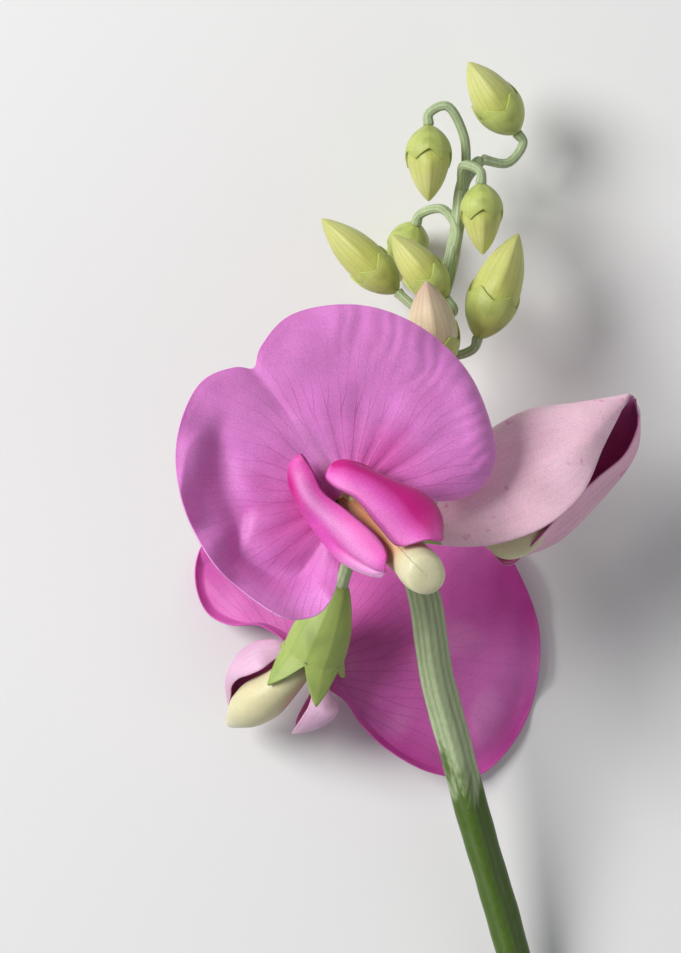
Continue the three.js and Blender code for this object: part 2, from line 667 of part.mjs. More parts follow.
// Each bud hangs from its own pedicel: base, tip, width across, the share of its
// length inside the calyx, and the places its pedicel runs through from the rachis.
const BUDS = [
  { base: [16.2, 31.5, 7.5], tip: [11.6, 37.9, 9.0], width: 4.9, cup: 0.5,
    from: [[12.8, 29.0, 8.7], [15.4, 28.8, 7.6]] },
  { base: [8.0, 31.9, 11.0], tip: [8.0, 25.0, 10.5], width: 4.7, cup: 0.48,
    from: [[11.4, 27.5, 9.0], [11.2, 31.0, 10.6], [9.6, 33.6, 11.4]] },
  { base: [12.7, 26.5, 12.5], tip: [12.9, 20.2, 11.2], width: 4.3, cup: 0.48,
    from: [[11.2, 26.2, 9.2], [11.2, 28.2, 11.4]] },
  { base: [5.2, 16.8, 10.0], tip: [-1.7, 23.5, 9.0], width: 4.5, cup: 0.3,
    from: [[8.6, 15.2, 10.0], [7.6, 14.9, 10.2]] },
  { base: [9.5, 16.0, 13.0], tip: [4.6, 21.8, 13.0], width: 4.3, cup: 0.34,
    from: [[9.0, 15.8, 9.7], [10.0, 14.8, 11.4]] },
  { base: [7.0, 23.4, 4.7], tip: [5.0, 18.3, 0.8], width: 4.3, cup: 0.45,
    from: [[10.6, 19.8, 9.3], [10.6, 22.4, 9.6], [9.4, 24.5, 7.8]] },
  { base: [12.4, 12.5, 12.0], tip: [16.1, 22.0, 11.0], width: 5.4, cup: 0.36,
    from: [[7.6, 12.6, 10.4], [9.8, 11.0, 10.8]] },
  { base: [8.7, 9.4, 15.2], tip: [7.6, 17.5, 17.2], width: 5.4, cup: 0.34,
    from: [[5.6, 8.4, 11.4], [6.9, 7.2, 13.6]] },
];

// How full a bud is at this share of its length: round at the base, pointed at the tip.
function budFullness(share) {
  return Math.sin(Math.PI * share ** 0.72) ** 0.8;
}

// The folded petals of a bud, drawn in where the calyx holds them. No part lies
// under the surface.
function budPetals(place, length, cup, radius, teethEnd) {
  const foot = PETAL / length * 1.3 + GAP / length;
  const rings = [];
  for (let i = 0; i < BUD_STEPS; i += 1) {
    const share = THREE.MathUtils.lerp(foot, 1, (i + 0.3) / (BUD_STEPS - 0.4));
    const held = 1 - THREE.MathUtils.smoothstep(share, teethEnd, teethEnd + 0.25);
    const size = radius * budFullness(share) - held * (PETAL + GAP / 2 - BUD_SEPAL_LIFT / 2);
    const beak = BUD_BEAK * Math.max(0, (share - cup) / (1 - cup)) ** 2;
    const ring = [];
    for (let j = 0; j < BUD_SIDES; j += 1) {
      const angle = 2 * Math.PI * j / BUD_SIDES;
      const p = place(
        BUD_FLATNESS * size * Math.sin(angle),
        length * (share - cup),
        size * Math.cos(angle) + beak);
      p.z = Math.max(p.z, 0);
      ring.push(p);
    }
    rings.push(ring);
  }
  return loft(rings, place(0, length * (foot - cup), 0), place(0, length * (1 - cup), BUD_BEAK));
}

BUDS.forEach(({ base, tip, width, cup, from }, i) => {
  const start = vector(...base);
  const axis = vector(...tip).sub(start);
  const length = axis.length();
  const place = flowerFrame(start.clone().addScaledVector(axis, cup).toArray(), axis.toArray(), [0, 0, 1]);
  const mouth = width / 2 * budFullness(cup) + BUD_SEPAL_LIFT;
  const swell = (share) => budFullness(cup * Math.max(0.06, share)) / budFullness(cup);
  const cupForm = {
    length: length * cup, mouth, teeth: BUD_TEETH, flare: 0, swell, toothPoints: BUD_TOOTH_POINTS,
  };
  add(`bud_calyx_${i + 1}`, "calyx", calyx(place, cupForm));
  const petals = budPetals(place, length, cup, width / 2, cup + BUD_TEETH[1] / length);
  add(`bud_petals_${i + 1}`, "bud", petals);
  pedicel(from, place(0, -length * cup, 0), place(0, -length * cup - 1, 0), BUD_PEDICEL_RADIUS);
});

// ---------------------------------------------------------------- stem

// The stalk is highest behind the open flowers and rests on its cut end.
const STEM_LINE = [
  [20.2, -62.0, 1.53], [16.0, -44.2, 4.2], [12.2, -31.1, 8.0], [10.5, -24.8, 9.8],
  [8.7, -18.0, 11.8], [7.4, -10.2, 13.2], [5.8, -6.2, 12.7], [4.6, -2.2, 12.0],
  [4.4, 2.4, 11.6], [5.2, 7.0, 11.2], [7.4, 12.4, 10.2], [9.6, 17.8, 9.4],
  [10.6, 22.4, 9.2], [11.3, 27.0, 9.0], [13.0, 29.2, 8.6],
];

function stemRadius(share, angle) {
  const thinning = THREE.MathUtils.smoothstep(share, 0.45, 1);
  const radius = THREE.MathUtils.lerp(STEM_RADIUS, RACHIS_RADIUS, thinning);
  return radius * (1 + STEM_RIDGE * Math.cos(STEM_RIDGES * angle));
}

stalks.push(stalk(STEM_LINE, stemRadius, STEM_STEPS, STEM_SIDES));
add("stem", "stem", joined(stalks));

export default group;
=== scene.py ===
# %% [markdown]
# # A sweet pea spray, dressed in Blender
#
# The object is one flowering stalk of the perennial sweet pea, picked and laid on a pale
# table: three pea flowers, eight buds and a waxy ridged stem. A pea flower has one large
# upright petal called the standard, two wings below it, and a boat called the keel that
# holds the stamens. A small green cup, the calyx, carries them all.
#
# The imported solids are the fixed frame. They say where each petal lies, but they are thick
# and faceted. Here every one of them is replaced by a thin, smooth, veined piece that
# follows the same lines.

# %% Load the frame
import math

import bpy
import numpy as np
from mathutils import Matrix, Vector


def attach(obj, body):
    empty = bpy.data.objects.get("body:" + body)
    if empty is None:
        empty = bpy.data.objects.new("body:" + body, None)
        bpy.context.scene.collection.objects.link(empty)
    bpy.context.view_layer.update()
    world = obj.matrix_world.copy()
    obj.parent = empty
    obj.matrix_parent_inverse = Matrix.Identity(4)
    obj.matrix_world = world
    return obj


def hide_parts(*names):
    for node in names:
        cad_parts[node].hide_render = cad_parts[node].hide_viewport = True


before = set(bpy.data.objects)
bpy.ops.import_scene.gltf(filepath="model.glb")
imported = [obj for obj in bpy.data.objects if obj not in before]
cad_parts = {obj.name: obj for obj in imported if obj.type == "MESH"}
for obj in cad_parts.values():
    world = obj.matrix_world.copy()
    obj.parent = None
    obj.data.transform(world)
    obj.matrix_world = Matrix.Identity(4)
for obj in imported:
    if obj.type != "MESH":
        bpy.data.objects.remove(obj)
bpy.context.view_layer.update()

print("CAD nodes:", len(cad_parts))

# %% [markdown]
# ## Working in millimetres
#
# Flower parts are measured in tenths of a millimetre, so every shape below is worked out in
# millimetres and turned to metres once, when its mesh is made. The places are given from the
# middle of the spray as the eye meets it. ORIGIN is the frame's own origin in those numbers.
#
# Nothing on a plant is ruled straight or switched on at a line. `rise` and `hill` fade a form
# in and out, and `ripple` adds the slow unevenness of growth. Its waves are drawn from a
# numbered seed, so every run gives the same flower.

# %% Units and small helpers
MM = 0.001
ORIGIN = np.array([6.29, -12.27, 0.0])


def rise(x, start, end):
    """A smooth step from 0 at start to 1 at end."""
    t = np.clip((x - start) / (end - start), 0, 1)
    return t * t * (3 - 2 * t)


def hill(x, middle, width):
    """A soft bump of height 1 at middle, gone at about twice the width."""
    return np.exp(-((x - middle) / width) ** 2)


def ripple(x, y, length, seed):
    """Smooth irregular waves of about this length in mm, between -1 and 1."""
    draw = np.random.default_rng(seed)
    total = 0
    for _ in range(6):
        way = draw.uniform(0, 2 * math.pi)
        size = length * draw.uniform(0.7, 1.5)
        phase = draw.uniform(0, 2 * math.pi)
        total = total + np.sin(2 * math.pi * (x * math.cos(way) + y * math.sin(way)) / size + phase)
    return total / 3


def together(*values):
    """Values over one grid, each spread to its full shape, kept side by side at each point."""
    return np.stack(np.broadcast_arrays(*values), -1)


print("the frame's origin, mm:", ORIGIN)

# %% [markdown]
# ## Curves through chosen points
#
# Petal edges and stalks are smooth curves through a few given points. A centripetal
# Catmull-Rom curve passes through every point and never loops between close ones, and it is
# the curve that the solids were made with, so the new pieces land on the old ones.

# %% Curves
def spline(points, share, closed=False):
    """The curve through points at each share, 0 to 1, counted evenly from point to point."""
    p = np.asarray(points, float)
    if closed:
        p = np.vstack([p[-1:], p, p[:2]])
    else:
        p = np.vstack([2 * p[0] - p[1], p, 2 * p[-1] - p[-2]])
    spans = len(p) - 3
    place = np.clip(np.asarray(share, float), 0, 1) * spans
    i = np.minimum(place.astype(int), spans - 1)
    t = (place - i)[..., None]
    p0, p1, p2, p3 = p[i], p[i + 1], p[i + 2], p[i + 3]
    d1 = np.sqrt(np.linalg.norm(p2 - p1, axis=-1, keepdims=True))
    d1 = np.where(d1 < 1e-4, 1, d1)
    d0 = np.sqrt(np.linalg.norm(p1 - p0, axis=-1, keepdims=True))
    d0 = np.where(d0 < 1e-4, d1, d0)
    d2 = np.sqrt(np.linalg.norm(p3 - p2, axis=-1, keepdims=True))
    d2 = np.where(d2 < 1e-4, d1, d2)
    start = ((p1 - p0) / d0 - (p2 - p0) / (d0 + d1) + (p2 - p1) / d1) * d1
    end = ((p2 - p1) / d1 - (p3 - p1) / (d1 + d2) + (p3 - p2) / d2) * d1
    bend = -3 * p1 + 3 * p2 - 2 * start - end
    return p1 + t * (start + t * (bend + t * (2 * p1 - 2 * p2 + start + end)))


def evenly(points, count, closed=False):
    """count points at even distances along the curve through points."""
    fine = spline(points, np.linspace(0, 1, 2000), closed)
    length = np.concatenate([[0], np.cumsum(np.linalg.norm(np.diff(fine, axis=0), axis=1))])
    marks = np.linspace(0, length[-1], count + 1 if closed else count)[:count]
    return np.stack([np.interp(marks, length, fine[:, k]) for k in range(fine.shape[1])], 1)


print("a quarter of the way along a bent line:", spline([[0, 0], [1, 1], [2, 0]], 0.25))

# %% [markdown]
# ## From a grid of points to a petal
#
# A petal is a sheet with two faces. It could be one surface thickened by a Solidify modifier,
# but then both faces would carry the same marks, and a petal's back is paler than its front.
# `sheet` takes the grid of points half way through the petal, moves a copy out on each side
# along the normals, and closes the rim. Marks are numbers kept at each point for the
# materials to read: how the veins run, where the colour deepens, and which face it is.

# %% Meshes
def as_mesh(name, points, faces, marks):
    """A smooth-shaded object from points in mm, its faces turned to point out."""
    quads = np.array([f if len(f) == 4 else (*f, f[2]) for f in faces])
    a, b, c, d = (points[quads[:, k]] for k in range(4))
    volume = np.sum(a * np.cross(b, c)) + np.sum(a * np.cross(c, d))
    if volume < 0:
        faces = [f[::-1] for f in faces]
    mesh = bpy.data.meshes.new(name)
    mesh.from_pydata(((points - ORIGIN) * MM).tolist(), [], faces)
    mesh.polygons.foreach_set("use_smooth", np.ones(len(faces), bool))
    for key, value in marks.items():
        made = mesh.attributes.new(key, "FLOAT_VECTOR", "POINT")
        made.data.foreach_set("vector", np.ascontiguousarray(value, np.float32).ravel())
    mesh.update()
    piece = bpy.data.objects.new(name, mesh)
    bpy.context.scene.collection.objects.link(piece)
    return piece


def grid_faces(rows, columns, closed):
    """The four corners of every face of a grid, which may close on itself sideways."""
    i = np.arange(rows - 1)[:, None]
    j = np.arange(columns if closed else columns - 1)[None]
    onward = (j + 1) % columns
    corners = [i * columns + j, (i + 1) * columns + j, (i + 1) * columns + onward, i * columns + onward]
    return together(*corners).reshape(-1, 4)


def capped_faces(rows, columns):
    """A closed grid's faces, with a fan at each end to the two points that follow the grid's."""
    size = rows * columns
    faces = grid_faces(rows, columns, True).tolist()
    for j in range(columns):
        onward = (j + 1) % columns
        faces.append((size, j, onward))
        faces.append((size + 1, size - columns + onward, size - columns + j))
    return faces


def crossing(grid, closed, centre):
    """At each point of a grid, the direction square to both of its lines."""
    along = np.gradient(grid, axis=0)
    if centre is not None:
        along[0] = grid[1] - centre
    across = np.roll(grid, -1, 1) - np.roll(grid, 1, 1) if closed else np.gradient(grid, axis=1)
    return np.cross(along, across)


def sheet(name, middle, thickness, marks, closed=False, centre=None, inner=1.0, flat=None):
    """A sheet about a grid of points (rows, columns, 3), with a point in its middle if centre
    is given. Its first face is coloured as a petal's inner one where inner is 1, and as the
    outer one where it is 0. flat is the same grid before it was bent. Given that, the first
    face is always the one that looked up, even where the grid's two lines nearly meet."""
    rows, columns = middle.shape[:2]
    size = rows * columns
    normal = crossing(middle, closed, centre)
    if flat is not None:
        normal *= np.sign(crossing(flat[1:], closed, flat[0].mean(0))[..., 2:])
    normal /= np.maximum(np.linalg.norm(normal, axis=-1, keepdims=True), 1e-9)
    half = normal * np.broadcast_to(thickness, (rows, columns))[..., None] / 2
    points = [(middle + half).reshape(-1, 3), (middle - half).reshape(-1, 3)]
    top = grid_faces(rows, columns, closed)
    a, b, c, d = (top[:, k].reshape(rows - 1, -1) for k in range(4))
    rims = [(c[-1], b[-1])]
    if centre is None:
        rims.append((a[0], d[0]))
    if not closed:
        rims += [(b[:, 0], a[:, 0]), (d[:, -1], c[:, -1])]
    faces = top.tolist() + (top[:, ::-1] + size).tolist()
    for start, end in rims:
        faces += np.stack([start, end, end + size, start + size], 1).tolist()
    kept = {key: [value.reshape(-1, 3)] * 2 for key, value in marks.items()}
    kept["side"] = [np.tile([inner, 0, 0], (size, 1)), np.tile([1 - inner, 0, 0], (size, 1))]
    if centre is not None:
        offset = half[0].mean(0)
        points.append(np.array([centre + offset, centre - offset]))
        faces += [(p, q, 2 * size) for p, q in zip(a[0].tolist(), d[0].tolist())]
        faces += [(q + size, p + size, 2 * size + 1) for p, q in zip(a[0].tolist(), d[0].tolist())]
        for key, value in marks.items():
            kept[key].append(np.tile(value[0].mean(0), (2, 1)))
        kept["side"].append(np.array([[inner, 0, 0], [1 - inner, 0, 0]]))
    return as_mesh(name, np.vstack(points), faces, {key: np.vstack(value) for key, value in kept.items()})


# %% [markdown]
# ### Taking a solid's place
#
# A spray that grew as one moves as one, so every piece rides on the one root body. Each
# piece hides the solid that it stands for and takes a finish that pieces of its kind share.
# Then a scene that uses the part can recolour all the petals of a kind at once.

# %% Dressing
def dress(piece, node, material):
    """The piece stands for one solid: it rides with the part and takes a slot's finish."""
    piece.data.materials.append(material)
    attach(piece, "root")
    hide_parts(node)
    print(piece.name, len(piece.data.polygons), "faces")


# %% [markdown]
# ## Colour and nodes
#
# Colours are written as the hex values a painter would pick from a screen. Blender mixes
# light in linear values, so one function turns them. One more adds a shader node with its
# settings and its links, and returns the output that the next node reads.

# %% Colour and node helpers
def linear(hex_colour):
    """An sRGB hex colour as the linear red, green, blue and alpha that nodes take."""
    values = [int(hex_colour[i:i + 2], 16) / 255 for i in (1, 3, 5)]
    return [v / 12.92 if v <= 0.04045 else ((v + 0.055) / 1.055) ** 2.4 for v in values] + [1.0]


def add(tree, kind, inputs=None, out=0, **settings):
    """One node: settings are its own properties, inputs are values or other nodes' outputs."""
    made = tree.nodes.new("ShaderNode" + kind)
    for key, value in settings.items():
        setattr(made, key, value)
    for key, value in (inputs or {}).items():
        if isinstance(value, bpy.types.NodeSocket):
            tree.links.new(value, made.inputs[key])
        else:
            made.inputs[key].default_value = value
    return made.outputs[out] if made.outputs else made


print("mid grey in linear light:", round(linear("#808080")[0], 3))

# %% [markdown]
# ## Veins
#
# A pea petal is fed by veins that fan out from its claw and fork again and again toward the
# margin. Drawn as an image they would blur. Here each point of a petal keeps a vein
# coordinate that counts veins across the fan, and how many times they have forked so far.
# Folding that coordinate in half once for each fork gives the distance to the nearest vein,
# so the lines stay sharp at any size.

# %% Vein lines
MOST_FORKS = 3


def vein_lines(tree, width):
    """0 between veins and 1 on one. width is a vein's width in mm."""
    mark = add(tree, "Attribute", out="Vector", attribute_name="vein")
    count, forks, spacing = (add(tree, "SeparateXYZ", {0: mark}, out=axis) for axis in "XYZ")
    shifted = add(tree, "Math", {0: count, 1: 0.5}, operation="ADD")
    within = add(tree, "Math", {0: shifted}, operation="FRACT")
    centred = add(tree, "Math", {0: within, 1: 0.5}, operation="SUBTRACT")
    away = add(tree, "Math", {0: centred}, operation="ABSOLUTE")
    for level in range(MOST_FORKS):
        grown = add(tree, "Math", {0: forks, 1: float(level)}, operation="SUBTRACT", use_clamp=True)
        spread = add(tree, "Math", {0: grown, 1: 0.25 / 2 ** level}, operation="MULTIPLY")
        moved = add(tree, "Math", {0: away, 1: spread}, operation="SUBTRACT")
        away = add(tree, "Math", {0: moved}, operation="ABSOLUTE")
    distance = add(tree, "Math", {0: away, 1: spacing}, operation="MULTIPLY")
    return add(tree, "MapRange", {0: distance, 1: width * 0.25, 2: width, 3: 1.0, 4: 0.0},
               interpolation_type="SMOOTHSTEP")


# %% [markdown]
# ## Petal tissue
#
# A petal is a skin of tiny domed cells over watery tissue, a quarter of a millimetre thick.
# The domes scatter light, which makes a petal look silky rather than glossy, and the thin
# tissue lets light through, so a shaded petal still glows. In shader terms that is a fairly
# rough surface with a little sheen, and subsurface scattering about as deep as the petal.
# The IOR is that of wet cell walls. One function makes every tissue of the plant, since
# sepal, petal and bud are all leaves by descent and differ in colour and in relief.

# %% Tissue material
CELL = 0.12          # the papillae are 0.03 mm across: drawn four times as coarse, to show
PATCH = 3.0          # slow colour drift, mm
SPECK = 1.1          # distance between the flecks of an opening petal, mm
TISSUE_IOR = 1.4
BACK_FLUSH = 0.35    # how much of the front's deeper colour shows through on the back
BACK_VEIN = 0.25     # and how much of its veins


def tissue(name, ground, deep, pale, vein, back, vein_width=0.12, roughness=0.5, relief=0.02,
           cell_tint=0.10, glow="#e070b0", green="#c9d08a", specks=None):
    """Living tissue: its ground colour, where it deepens or pales, its veins and its back."""
    material = bpy.data.materials.new(name)
    material.use_nodes = True
    tree = material.node_tree
    tree.nodes.clear()
    tint = add(tree, "Attribute", out="Vector", attribute_name="tint")
    deepening, paling, veining = (add(tree, "SeparateXYZ", {0: tint}, out=axis) for axis in "XYZ")
    side = add(tree, "Attribute", out="Vector", attribute_name="side")
    front = add(tree, "SeparateXYZ", {0: side}, out="X")
    place = add(tree, "TexCoord", out="Object")
    patches = add(tree, "TexNoise", {"Vector": place, "Scale": 1 / (PATCH * MM), "Detail": 3.0})
    cells = add(tree, "TexNoise", {"Vector": place, "Scale": 1 / (CELL * MM), "Detail": 2.0})
    lines = vein_lines(tree, vein_width)
    drawn = add(tree, "Math", {0: lines, 1: veining}, operation="MULTIPLY", use_clamp=True)

    colour = add(tree, "Mix", {0: deepening, 6: linear(ground), 7: linear(deep)}, out=2, data_type="RGBA")
    colour = add(tree, "Mix", {0: paling, 6: colour, 7: linear(pale)}, out=2, data_type="RGBA")
    greening = add(tree, "Math", {0: paling, 1: 1.0}, operation="SUBTRACT", use_clamp=True)
    colour = add(tree, "Mix", {0: greening, 6: colour, 7: linear(green)}, out=2, data_type="RGBA")
    colour = add(tree, "Mix", {0: drawn, 6: colour, 7: linear(vein)}, out=2, data_type="RGBA")
    behind = add(tree, "Math", {0: 0.85, 1: front}, operation="SUBTRACT", use_clamp=True)
    back_veins = add(tree, "Math", {0: drawn, 1: BACK_VEIN}, operation="MULTIPLY")
    flushed = add(tree, "Math", {0: deepening, 1: BACK_FLUSH}, operation="MULTIPLY", use_clamp=True)
    outside = add(tree, "Mix", {0: flushed, 6: linear(back), 7: linear(deep)}, out=2, data_type="RGBA")
    outside = add(tree, "Mix", {0: back_veins, 6: outside, 7: linear(vein)}, out=2, data_type="RGBA")
    if specks:
        spots = add(tree, "TexNoise", {"Vector": place, "Scale": 1 / (SPECK * MM), "Detail": 1.0})
        spotted = add(tree, "MapRange", {0: spots, 1: 0.68, 2: 0.80, 3: 0.0, 4: 0.6})
        outside = add(tree, "Mix", {0: spotted, 6: outside, 7: linear(specks)}, out=2, data_type="RGBA")
    colour = add(tree, "Mix", {0: behind, 6: colour, 7: outside}, out=2, data_type="RGBA")
    drift = add(tree, "MapRange", {0: patches, 1: 0.3, 2: 0.7, 3: 0.92, 4: 1.06})
    grain = add(tree, "MapRange", {0: cells, 1: 0.3, 2: 0.7, 3: 1 - cell_tint, 4: 1 + cell_tint})
    shade = add(tree, "Math", {0: drift, 1: grain}, operation="MULTIPLY")
    colour = add(tree, "HueSaturation", {"Color": colour, "Value": shade})

    raised = add(tree, "Math", {0: cells, 1: drawn}, operation="ADD")
    bump = add(tree, "Bump", {"Height": raised, "Distance": relief * MM, "Strength": 0.6})
    matt = add(tree, "MapRange", {0: cells, 1: 0.3, 2: 0.7, 3: roughness - 0.06, 4: roughness + 0.06})
    shader = add(tree, "BsdfPrincipled", {
        "Base Color": colour, "Roughness": matt, "Normal": bump, "IOR": TISSUE_IOR,
        "Subsurface Weight": 0.35, "Subsurface Radius": linear(glow)[:3], "Subsurface Scale": 0.5 * MM,
        "Sheen Weight": 0.12, "Sheen Roughness": 0.4,
    })
    add(tree, "OutputMaterial", {"Surface": shader})
    return material


# %% [markdown]
# ## A flower's own directions
#
# Each flower points its own way. Its parts are easiest to describe from the middle of the
# calyx mouth: how far to the side, how far forward along the keel, and how far toward its
# back, where the standard stands. `flower_frame` turns those three distances into places.
# Parenting each petal to a turned empty would do the same, but here every mesh is made where
# it lies, so pieces of different flowers can be kept clear of each other by their numbers.

# %% Flower frames
def flower_frame(mouth, forward, dorsal):
    """A function from (to the side, forward, dorsal) to places, for one flower or bud."""
    origin = np.array(mouth, float)
    ahead = np.array(forward, float)
    ahead /= np.linalg.norm(ahead)
    back = np.array(dorsal, float)
    back -= back.dot(ahead) * ahead
    back /= np.linalg.norm(back)
    side = np.cross(back, ahead)

    def place(s, f, d):
        s, f, d = (np.asarray(v, float)[..., None] for v in (s, f, d))
        return origin + side * s + ahead * f + back * d
    return place


FRONT = flower_frame([-0.3, -0.5, 21.8], [0.544, -0.567, 0.616], [-0.426, 0.444, 0.788])
LOW = flower_frame([-2.5, -16.3, 8.6], [-0.61, -0.71, -0.342], [0.1, -0.1, -1])
SIDE = flower_frame([11.6, -3.9, 15.2], [0.98, 0.1, 0], [-0.1, 0.98, 0])
print("the front flower's keel tip, mm:", FRONT(0, 14.8, 1.1).round(1))

# %% [markdown]
# ## The calyx
#
# Five sepals are joined into a cup with a tooth at the end of each. The two teeth behind the
# standard are short and the one under the keel is longest. Ten ribs run up the cup, one to
# each tooth and one to each notch. Teeth could be cut from a cup with a Boolean, but that
# leaves ragged faces. Here the cup is made as rings, and past its rim each ring runs on only
# as far as the teeth do, so they grow out of it as sepals do.

# %% Calyces
SEPAL = 0.35
CALYX_LENGTH = 7.2
CALYX_RADIUS = 2.9
CALYX_NECK = 0.22
MOUTH_SLANT = 0.6
RIM_MARGIN = 0.25
TEETH = 5
RIB_HEIGHT = 0.03
TOOTH_TAPER = 1.12        # 1 for straight-sided teeth, more for hollow sides


def cup_swell(share):
    """Narrow at the stalk, fullest near the mouth."""
    return np.sin(math.pi / 2 * np.minimum(1, CALYX_NECK + 0.8 * share))


def calyx(name, place, length, mouth, teeth, flare=0.3, lean=(0, 0), swell=cup_swell, closing=None,
          sepal=SEPAL, flatness=1.0, turn=0.0, columns=150, cup_rows=30):
    """The cup and its teeth as rings, with ribs that stand out a little."""
    tooth_rows = cup_rows // 2
    angle = np.linspace(0, 2 * math.pi, columns, endpoint=False)[None]
    share = np.concatenate([np.linspace(0.02, 1, cup_rows), np.ones(tooth_rows)])[:, None]
    out = np.concatenate([np.zeros(cup_rows), np.linspace(0, 1, tooth_rows + 1)[1:]])[:, None]
    ventral = (1 - np.cos(angle)) / 2
    phase = (angle + turn) * TEETH / (2 * math.pi) % 1
    peak = (1 - 2 * np.abs(phase - 0.5)) ** TOOTH_TAPER
    tooth = out * (RIM_MARGIN + (teeth[0] + (teeth[1] - teeth[0]) * ventral) * peak)
    rib = np.abs(np.cos((angle + turn) * TEETH)) ** 8 * rise(share, 0.05, 0.4)
    slant = MOUTH_SLANT * share * (1 + np.cos(angle)) / 2
    bend = (1 - share) ** 2
    radius = mouth * swell(share) - sepal / 2 + flare * tooth + RIB_HEIGHT * rib - 0.05
    if closing:
        radius = radius * closing(tooth)
    middle = place(
        flatness * radius * np.sin(angle) + lean[0] * bend,
        tooth - slant - length * (1 - share),
        radius * np.cos(angle) + lean[1] * bend)
    middle[..., 2] = np.maximum(middle[..., 2], sepal / 2)
    count = np.minimum(angle, 2 * math.pi - angle) * TEETH / math.pi + 0 * share
    vein = together(count, 0.0, math.pi * mouth / TEETH)
    along = share + out
    deep = 0.5 * rise(-along, -0.5, 0.0) + 0.3 * rise(along, 1.5, 2.0)
    deep = deep + 0.5 * ripple(count, along * 3, 1.4, 5)
    pale = 0.8 * rise(along, 0.7, 1.1) * (1 - rise(along, 1.3, 1.8))
    pale = pale + 0.4 * ripple(count, along * 4, 1.6, 6)
    tint = np.clip(together(deep, pale, 0.35 * rise(along, 0.1, 0.5)), 0, 1)
    centre = place(lean[0], -length, lean[1])
    return sheet(name, middle, sepal, {"vein": vein, "tint": tint}, closed=True, centre=centre, inner=0.0)


print("ribs up a calyx:", 2 * TEETH)


# %% [markdown]
# ## The open standard
#
# The big petal is cut from a flat outline, heart-shaped with a notch at the top, and bent
# into the flower: its claw runs back into the calyx and the blade turns up from it. It could
# be sculpted from a disc, but an outline and a few formulas can be read and changed. Rings
# run from the middle of the blade out to its edge, closer together near the edge, where the
# petal curls. Each standard adds its own relief: rolled margins, pleats and the crease from
# the notch down to the claw.

# %% Open standards
PETAL = 0.28
EDGE_POINTS = 340
EDGE_RINGS = 72
BLADE_BASE = {"forward": 2.7, "dorsal": 1.6}
CLAW_HALF_WIDTH = 1.1
CLAW_BLEND = 2.6
BLADE_MIDDLE = np.array([0.0, 4.0])
VEIN_ANGLE = 0.30         # between two veins where they leave the claw, in radians


def blade_place(place, reflex, twist, height_at):
    """Turns the flat blade's across, up and relief into places in the flower."""
    sin_reflex, cos_reflex = math.sin(math.radians(reflex)), math.cos(math.radians(reflex))
    sin_twist, cos_twist = math.sin(math.radians(twist)), math.cos(math.radians(twist))

    def bent(x, y, relief):
        free = rise(np.abs(x), CLAW_HALF_WIDTH, CLAW_BLEND)
        claw = np.maximum(0, -y) * (1 - free)
        height = height_at(x, y) * np.minimum(1, free + np.maximum(0, y) / 3) + relief
        up = (y + claw) * cos_twist - x * sin_twist
        across = (y + claw) * sin_twist + x * cos_twist
        p = place(
            across,
            BLADE_BASE["forward"] - up * cos_reflex + height * sin_reflex - claw,
            BLADE_BASE["dorsal"] + up * sin_reflex + height * cos_reflex)
        p[..., 2] = np.maximum(p[..., 2], PETAL / 2)
        return p
    return bent


def fan_veins(x, y, seed):
    """Vein coordinates that fan from the claw: count, forks so far, and mm to the next."""
    reach = np.hypot(x, y + 0.6)
    angle = np.arctan2(x, y + 0.6)
    sway = 0.045 * ripple(x, y, 11, seed) * rise(reach, 2, 9) + 0.006 * ripple(x, y, 3.2, seed + 1)
    bow = 0.10 * np.sin(angle) * rise(reach, 4, 16)
    count = (angle + sway - bow) / VEIN_ANGLE
    forks = rise(reach, 1.5, 4.5) + rise(reach, 6.5 + ripple(count, 0 * x, 3, seed + 2), 10.5)
    return together(count, forks, VEIN_ANGLE * reach), reach, angle


def on_the_way(edge, share):
    """Curved ways from the blade's middle to its edge. Those to the lobes beside the claw run
    across first and then down, because straight ones would cross the gap between them."""
    x, y = edge[..., 0], edge[..., 1]
    low = (1 - rise(y, 0, 4))[..., None]
    turn = (BLADE_MIDDLE + edge) / 2 * (1 - low) + np.stack([0.8 * x, 1.8 + 0.25 * y], -1) * low
    return BLADE_MIDDLE * (1 - share) ** 2 + turn * 2 * share * (1 - share) + edge * share ** 2


def open_standard(name, outline, bent, relief_at, tint_at, seed, narrowed=1.0):
    """narrowed draws the outline in, by as much as a rolled margin takes from its width."""
    edge = evenly(np.array(outline) * [narrowed, 1], EDGE_POINTS, closed=True)
    share = (1 - (1 - np.linspace(0, 1, EDGE_RINGS + 1)) ** 1.35)[:, None, None]
    flat = on_the_way(edge, share)
    x, y = flat[..., 0], flat[..., 1]
    inset = (1 - share[..., 0]) * np.linalg.norm(edge - BLADE_MIDDLE, axis=-1)
    vein, reach, angle = fan_veins(x, y, seed)
    middle = bent(x, y, relief_at(x, y, inset, reach, angle))
    tint = np.clip(together(*tint_at(x, y, inset, reach, angle)), 0, 2)
    thickness = PETAL * (0.5 + 0.5 * rise(inset, 0, 0.8))
    return sheet(name, middle[1:], thickness[1:], {"vein": vein[1:], "tint": tint[1:]}, closed=True,
                 centre=middle[0].mean(0), inner=0.0, flat=together(x, y, 0))


def mirrored(half, other_width):
    """An outline from its right half, with the left one wider or narrower."""
    return half + [[-x * other_width, y] for x, y in half[:0:-1]]


print("points round a standard's edge:", EDGE_POINTS)


# %% [markdown]
# ### Claws
#
# Where the standard enters the calyx it narrows to a stiff yellow-green strip, the claw. It
# is a separate sheet tucked under the blade, since the blade's rings could not follow
# anything so narrow.

# %% Claws
STRAIGHT_CLAW = [[-1.7, 1.6], [0.5, 1.6], [1.8, 1.6], [2.72, 1.62]]
STRIP_HALF_WIDTH = 0.8
CLAW_HOLLOW = 0.12


